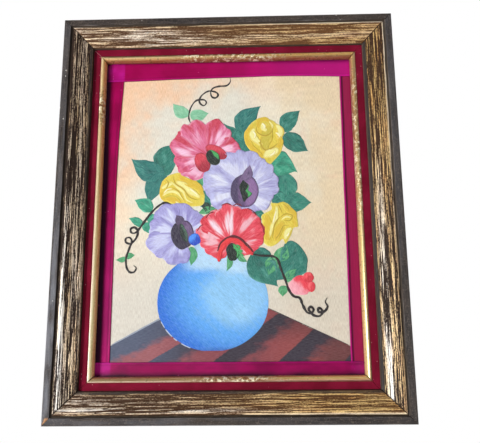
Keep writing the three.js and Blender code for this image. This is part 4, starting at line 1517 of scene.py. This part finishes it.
def daub(middle, sizes, base, rise, tones, seed, lit=(0.0, 0.3), waves=0.06, tilt=0.0, spokes=72):
    """A round film with a wavy rim, a low dome and two tones, each from a seed of its own. Lit
    says where its light side lies and how far that reaches."""
    colour = two_tones(*tones, seed + 2, *lit)
    return blob(middle, (*sizes, wavy(seed, waves)), domed(base, rise, seed + 1), colour, tilt, spokes=spokes)


CRIMSON_TONES = rgb(166, 36, 60), rgb(214, 66, 86)
PLUM_TONES = rgb(74, 62, 98), rgb(142, 108, 160)
DUSK_TONES = rgb(48, 42, 66), rgb(112, 88, 130)
SEED_TONES = rgb(16, 34, 30), rgb(70, 170, 96)


def hearts():
    """The dark middles of the flowers, with their seed heads and the arch over the scarlet one."""
    crimson = [
        daub((-24, 93), (19, 10), 1.04, 0.06, CRIMSON_TONES, 601, (2.0, 0.3), tilt=-0.5),
        daub((-46, 76), (12, 17), 1.04, 0.06, CRIMSON_TONES, 604, (1.6, 0.3), tilt=0.35),
    ]
    eyes = [
        daub((20, 29), (22.5, 27), 1.2, 0.06, PLUM_TONES, 610, (0.0, 0.5), 0.03, spokes=110),
        leaf((17, 45), (29, 72), 15, -0.12, (rgb(120, 100, 140), *PLUM_TONES), 613, 1.28),
        daub((-76, -39), (18, 23), 1.04, 0.06, DUSK_TONES, 614, (0.6, 0.1), 0.05, spokes=110),
        leaf((-79, -24), (-86, -8), 14, -0.1, (rgb(84, 72, 104), *DUSK_TONES), 617, 1.1),
    ]
    seed_outline = [(18, 47), (12, 36), (15, 23), (19, 11), (24, 16), (32, 24), (26, 30), (27, 38)]
    grey_tones = rgb(28, 46, 44), rgb(70, 104, 88)
    seeds = [
        daub((-29, 84), (10, 14), 1.16, 0.15, SEED_TONES, 607, (0.6, -0.3), tilt=0.62),
        outlined((20, 28), seed_outline, domed(1.32, 0.12, 619), two_tones(*SEED_TONES, 620, 0, -0.25)),
        daub((-74, -37), (5, 15), 1.15, 0.08, grey_tones, 621, waves=0.15, tilt=0.3),
        daub((1, -67), (10, 14), 1.4, 0.15, SEED_TONES, 624, (0.3, -0.5), 0.08, 0.1),
    ]
    lay("crimson_lobes", crimson, BODY_PAINT)
    lay("plum_eyes", eyes, BODY_PAINT)
    lay("seed_heads", seeds, BODY_PAINT)
    arch = [(-20, -82), (-18, -68), (-11, -54), (1, -48), (13, -53), (22, -63), (32, -72)]
    arch_shade = [(-22, -66), (-15, -52), (0, -43), (14, -48), (25, -59), (33, -68)]
    tooth = [(7, -56), (12, -60), (9, -63), (15, -66), (12, -69), (18, -73)]
    arches = [
        line(arch_shade, 4.0, 0.12, rgb(96, 26, 38), 1.3),
        line(arch, 7.5, 0.2, rgb(226, 54, 62), 1.35),
        line(tooth, 3.0, 0.15, SEED_TONES[1], 1.58),
    ]
    rims = [
        [(-40, -14), (-35, -7), (-28, -4)],
        [(-16, 6), (-8, 9), (-1, 7)],
        [(2, 5), (9, 8), (16, 5)],
        [(24, 1), (32, -3), (38, -10)],
        [(-53, -34), (-49, -27), (-44, -24)],
        [(44, -22), (48, -30), (49, -38)],
    ]
    arches += [line(rim, 1.8, 0.08, rgb(122, 24, 40), 1.2) for rim in rims]
    lay("scarlet_arch_and_rims", arches, LINE_PAINT)
    blue_tones = rgb(22, 74, 196), rgb(76, 146, 244)
    lay("blue_bud", [daub((-57, -47), (9.5, 9), 1.2, 0.15, blue_tones, 627, (2.4, 0.2), 0.12)], BODY_PAINT)


YELLOW, AMBER, LEMON = rgb(228, 208, 76), rgb(222, 188, 56), rgb(242, 238, 158)
SHADE, OLIVE, CREAM = rgb(188, 160, 48), rgb(206, 190, 70), rgb(250, 248, 206)
# Each rose: its middle and outline, and its folds from the back to the front, each with its
# course, width and tone.
ROSES = {
    "rose_upper": ((52, 108), [
        (46, 150), (32, 142), (22, 125), (23, 109), (31, 94), (43, 81), (47, 69), (58, 69), (66, 76),
        (79, 93), (82, 114), (78, 132), (68, 143), (57, 149),
    ], [
        ([(36, 140), (25, 122), (30, 103), (44, 88), (50, 76)], 11, AMBER),
        ([(62, 136), (56, 118), (52, 104), (54, 92)], 22, OLIVE),
        ([(37, 133), (33, 121), (40, 111), (50, 103)], 12, LEMON),
        ([(72, 138), (78, 126), (74, 112)], 12, LEMON),
        ([(74, 120), (78, 108), (74, 98)], 9, AMBER),
        ([(50, 82), (57, 88), (66, 91), (75, 98)], 15, LEMON),
        ([(47, 118), (47, 104), (54, 95), (65, 99), (76, 108)], 3.2, SHADE),
        ([(44, 130), (44, 142), (54, 147), (65, 139)], 8, AMBER),
        ([(41, 139), (41, 126), (52, 119), (63, 124), (67, 137)], 2.6, SHADE),
        ([(49, 140), (51, 132), (57, 127)], 9, LEMON),
        ([(60, 144), (65, 137), (66, 130)], 4, LEMON),
        ([(49, 141), (53, 135), (51, 130)], 5, CREAM),
        ([(34, 128), (38, 121), (36, 114)], 4, CREAM),
        ([(60, 86), (66, 89), (70, 95)], 4, CREAM),
        ([(70, 124), (75, 121), (77, 115)], 3.4, CREAM),
    ]),
    "rose_left": ((-78, 29), [
        (-96, 58), (-108, 48), (-113, 35), (-113, 24), (-107, 15), (-94, 9), (-81, 4), (-75, 0), (-68, 5),
        (-57, 5), (-44, 8), (-42, 20), (-46, 37), (-57, 48), (-73, 51), (-77, 59), (-86, 60),
    ], [
        ([(-84, 56), (-70, 45), (-53, 37), (-45, 22)], 13, AMBER),
        ([(-104, 20), (-90, 16), (-77, 5)], 13, AMBER),
        ([(-88, 46), (-74, 39), (-62, 28), (-47, 18)], 12, LEMON),
        ([(-109, 22), (-98, 29), (-86, 28), (-74, 14)], 5, LEMON),
        ([(-110, 34), (-100, 40), (-91, 43)], 7, LEMON),
        ([(-92, 56), (-88, 43), (-75, 33), (-65, 20), (-48, 14)], 2.8, SHADE),
        ([(-97, 48), (-87, 38), (-76, 29), (-70, 16), (-58, 10)], 5, LEMON),
        ([(-95, 37), (-83, 30), (-77, 20), (-71, 12)], 2.0, SHADE),
        ([(-110, 17), (-98, 22), (-87, 21), (-79, 12)], 1.8, OLIVE),
        ([(-104, 50), (-99, 43), (-103, 33)], 2.2, SHADE),
        ([(-107, 26), (-100, 33), (-92, 34)], 3, CREAM),
        ([(-66, 35), (-58, 28), (-52, 22)], 3, CREAM),
        ([(-88, 14), (-80, 9)], 3, LEMON),
    ]),
    "rose_lower": ((75, -24), [
        (60, 10), (61, -1), (46, -10), (46, -22), (47, -40), (49, -54), (59, -60), (70, -54), (78, -48),
        (82, -56), (90, -43), (95, -31), (102, -28), (101, -12), (93, 1), (82, 11), (71, 9),
    ], [
        ([(54, -8), (55, -28), (54, -52)], 15, AMBER),
        ([(80, -20), (72, -34), (67, -52)], 12, AMBER),
        ([(70, 6), (68, -16), (61, -30), (58, -46)], 8, LEMON),
        ([(93, -31), (86, -36), (81, -50)], 9, LEMON),
        ([(75, -12), (67, -23), (64, -34), (62, -48)], 2.6, SHADE),
        ([(88, -27), (79, -28), (73, -40), (65, -50)], 2.4, SHADE),
        ([(80, 8), (86, 0), (96, -8), (98, -20)], 9, AMBER),
        ([(74, -15), (82, -9), (93, -11), (90, -19), (79, -19)], 2.4, SHADE),
        ([(76, -18), (84, -13), (92, -15)], 3.6, LEMON),
        ([(72, 6), (76, -2), (78, -8)], 2.2, SHADE),
        ([(79, 8), (87, 0), (88, -6)], 2.0, SHADE),
        ([(69, -2), (66, -14), (63, -24)], 3, CREAM),
        ([(88, -38), (84, -44)], 4, CREAM),
    ]),
}


def outlined(middle, corners, height, colour):
    """A round film whose rim is a smooth closed curve through the corners."""
    path = smooth_path(corners + corners[:1]) - np.array(middle)
    reach, turn = np.hypot(path[:, 0], path[:, 1]), np.arctan2(path[:, 1], path[:, 0])
    order = np.argsort(turn)

    def share(angle):
        ragged = field(9 + 5 * np.cos(angle), 9 + 5 * np.sin(angle), 651, 2)
        return np.interp(angle, turn[order], reach[order], period=2 * np.pi) * (1 + 0.03 * ragged)

    return blob(middle, (1, 1, share), height, colour, rings=24, spokes=120)


def rose_body(seed):
    """A colour function: yellow, brushed with amber and olive in streaks that follow the rim."""

    def colour(angle, s):
        swirl = field(6 + 5 * s, 6 + 2 * np.cos(angle), seed) + 0.4 * field(angle * 6, s * 9, seed + 1)
        tones = (AMBER, 0.8 * smooth(swirl, 0.0, 0.8)), (OLIVE, 0.6 * smooth(-swirl, 0.2, 0.9))
        return wash(swirl.shape, YELLOW, *tones, (LEMON, 0.4 * smooth(s, 0.93, 0.98) * (swirl < 0.2)))

    return colour


def fold(course, width, tone, seed, height):
    """A brush stroke along a course, pointed at both ends: half-width is sin(pi s)^0.6, and the
    tone thins out towards its two sides in streaks along it."""
    path, along, way = course_through(course, 12)
    s = (along / along[-1])[None, :]
    t = both_ways(7)[:, None]
    streak = field(t * 2.4 + seed, along[None, :] / 12, seed)
    half = width / 2 * np.sin(np.pi * (0.02 + 0.96 * s)) ** 0.6 * (1 + 0.12 * field(s * 5, 0 * s, seed + 1))
    x = path[:, 0] - way[:, 1] * t * half
    z = path[:, 1] + way[:, 0] * t * half
    soft = smooth(1 - np.abs(t) + 0.35 * streak, 0.0, 0.55)
    soft = soft * smooth(np.sin(np.pi * s) + 0.2 * streak, 0.0, 0.4)
    under = mixed(YELLOW, AMBER, 0.5 + 0.5 * np.clip(streak, -1, 1))
    colour = mixed(under, np.broadcast_to(tone, (*x.shape, 3)), soft)
    return patch(x, z, height + 0.03 * streak, colour, (t * half, along[None, :] + 0 * t))


def red_bud():
    """A small half-open bud in red and pink on the right-hand vine."""
    colour = two_tones(rgb(248, 176, 190), rgb(234, 60, 78), 641, 0.5, 0.62, 0.0)
    films = [
        blob((103, -119), (19, 15, wavy(642, 0.12, 5.0)), domed(0.6, 0.15, 643), colour, 0.15),
        daub((115, -107), (8, 8), 0.75, 0.15, (rgb(214, 48, 64), rgb(238, 84, 94)), 644, (2.0, 0.3)),
        daub((119, -121), (6, 8), 0.72, 0.2, (rgb(222, 52, 68), rgb(240, 96, 106)), 647, (2.6, 0.3)),
    ]
    lay("red_bud", films, BODY_PAINT)


def flowers():
    """The roses, each a body in its own outline with folds stroked over it; the petals of the
    four open flowers; and hearts and buds: from the back to the front."""
    for number, (name, (middle, outline, folds)) in enumerate(ROSES.items()):
        seed = 700 + 60 * number
        films = [outlined(middle, outline, domed(0.54, 0.06, seed), rose_body(seed + 1))]
        for above, (course, width, tone) in enumerate(folds):
            films.append(fold(course, width, tone, seed + 5 * above + 7, 0.66 + 0.01 * above))
        lay(name, films, BODY_PAINT)
    for name, flower in FLOWERS.items():
        films = []
        for number, (start, end, reach, white) in enumerate(flower["petals"]):
            seed, height = 900 + 13 * number + len(name), flower["base"] + 0.02 * number
            films.append(petal(flower, start, end, reach, white, seed, height))
        lay(f"{name}_petals", films, BODY_PAINT)
    hearts()
    red_bud()


lay("ground_paint", [ground()], THIN_PAINT)
table_top()
vase()
leaves_and_vines()
flowers()

# ------------------------------------------------------------------ pieces kept from the frame


def dress(node, material):
    """Gives a CAD piece its finish in every one of its slots."""
    for slot in bpy.data.objects[node].material_slots:
        slot.material = material


dress("canvas_panel", BOARD)
dress("hanger_plate", BRASSED)
dress("hanger_nail_left", STEEL)
dress("hanger_nail_right", STEEL)

# ------------------------------------------------------------------ floor, light and camera

FLOOR_DROP, FLOOR_REACH = 0.5, 3.0  # metres below the frame's foot, and out from its middle
LAMPS = {
    # metres from the middle of the front, size in metres, power in watts
    "key": ((-2.6, -2.12, -0.3), 0.6, 118.0),
    "fill": ((0.9, -2.4, 1.2), 1.6, 14.0),
    "floor_light": ((0.0, 2.0, 2.0), 3.0, 160.0),
}


def floor():
    """A level square below the frame."""
    foot = LOW[2] * MM - FLOOR_DROP
    signs = ((-1, -1), (1, -1), (1, 1), (-1, 1))
    mesh = bpy.data.meshes.new("floor")
    mesh.from_pydata([(x * FLOOR_REACH, y * FLOOR_REACH, foot) for x, y in signs], [], [(0, 1, 2, 3)])
    matt = {"Base Color": rgba(240, 240, 240), "Roughness": 0.9, "Specular IOR Level": 0.1}
    mesh.materials.append(finish("pale floor", lambda s: matt))
    piece = bpy.data.objects.new("floor", mesh)
    bpy.context.scene.collection.objects.link(piece)


def sky():
    """An even white sky that the camera sees brighter than it lights."""
    world = bpy.data.worlds.new("studio")
    world.use_nodes = True
    world.node_tree.nodes.clear()
    s = Shading(world.node_tree)
    strength = s.step(s.add("LightPath").outputs["Is Camera Ray"], 0.0, 1.0, 0.1, 1.0)
    light = s.add("Background", {"Color": (1.0, 1.0, 1.0, 1.0), "Strength": strength})
    s.add("OutputWorld", {"Surface": light.outputs[0]})
    bpy.context.scene.world = world


def lamps():
    """A key light low at the left, a weak fill at the right, and one from above for the floor."""
    middle = Vector((0, FRONT, CENTRE_Z)) * MM
    for name, (offset, size, power) in LAMPS.items():
        lamp = bpy.data.lights.new(name, "AREA")
        lamp.size = size
        lamp.energy = power
        light = bpy.data.objects.new(name, lamp)
        light.location = middle + Vector(offset)
        way = Vector((0, 0, 1)) if name == "floor_light" else Vector(offset)
        light.rotation_euler = way.to_track_quat("Z", "Y").to_euler()
        light.visible_camera = False
        bpy.context.scene.collection.objects.link(light)


CAMERA_RIGHT, CAMERA_BELOW, CAMERA_AWAY = 39.4, 211.2, 867.3  # from the middle of the front
CAMERA_WAY = (-0.02359, 0.97726, 0.21071)
CAMERA_ROLL = math.radians(-0.47)
LENS = 44.67


def camera():
    """In front, below the middle and looking up a little, as a hung picture is looked at."""
    data = bpy.data.cameras.new("camera")
    data.lens = LENS
    data.clip_start = 0.01
    view = bpy.data.objects.new("camera", data)
    place = Vector((CAMERA_RIGHT, FRONT - CAMERA_AWAY, CENTRE_Z - CAMERA_BELOW)) * MM
    turn = Vector(CAMERA_WAY).to_track_quat("-Z", "Y").to_matrix().to_4x4()
    view.matrix_world = Matrix.Translation(place) @ turn @ Matrix.Rotation(CAMERA_ROLL, 4, "Z")
    bpy.context.scene.collection.objects.link(view)
    bpy.context.scene.camera = view


floor()
sky()
lamps()
camera()
bpy.context.scene.view_settings.view_transform = "Standard"
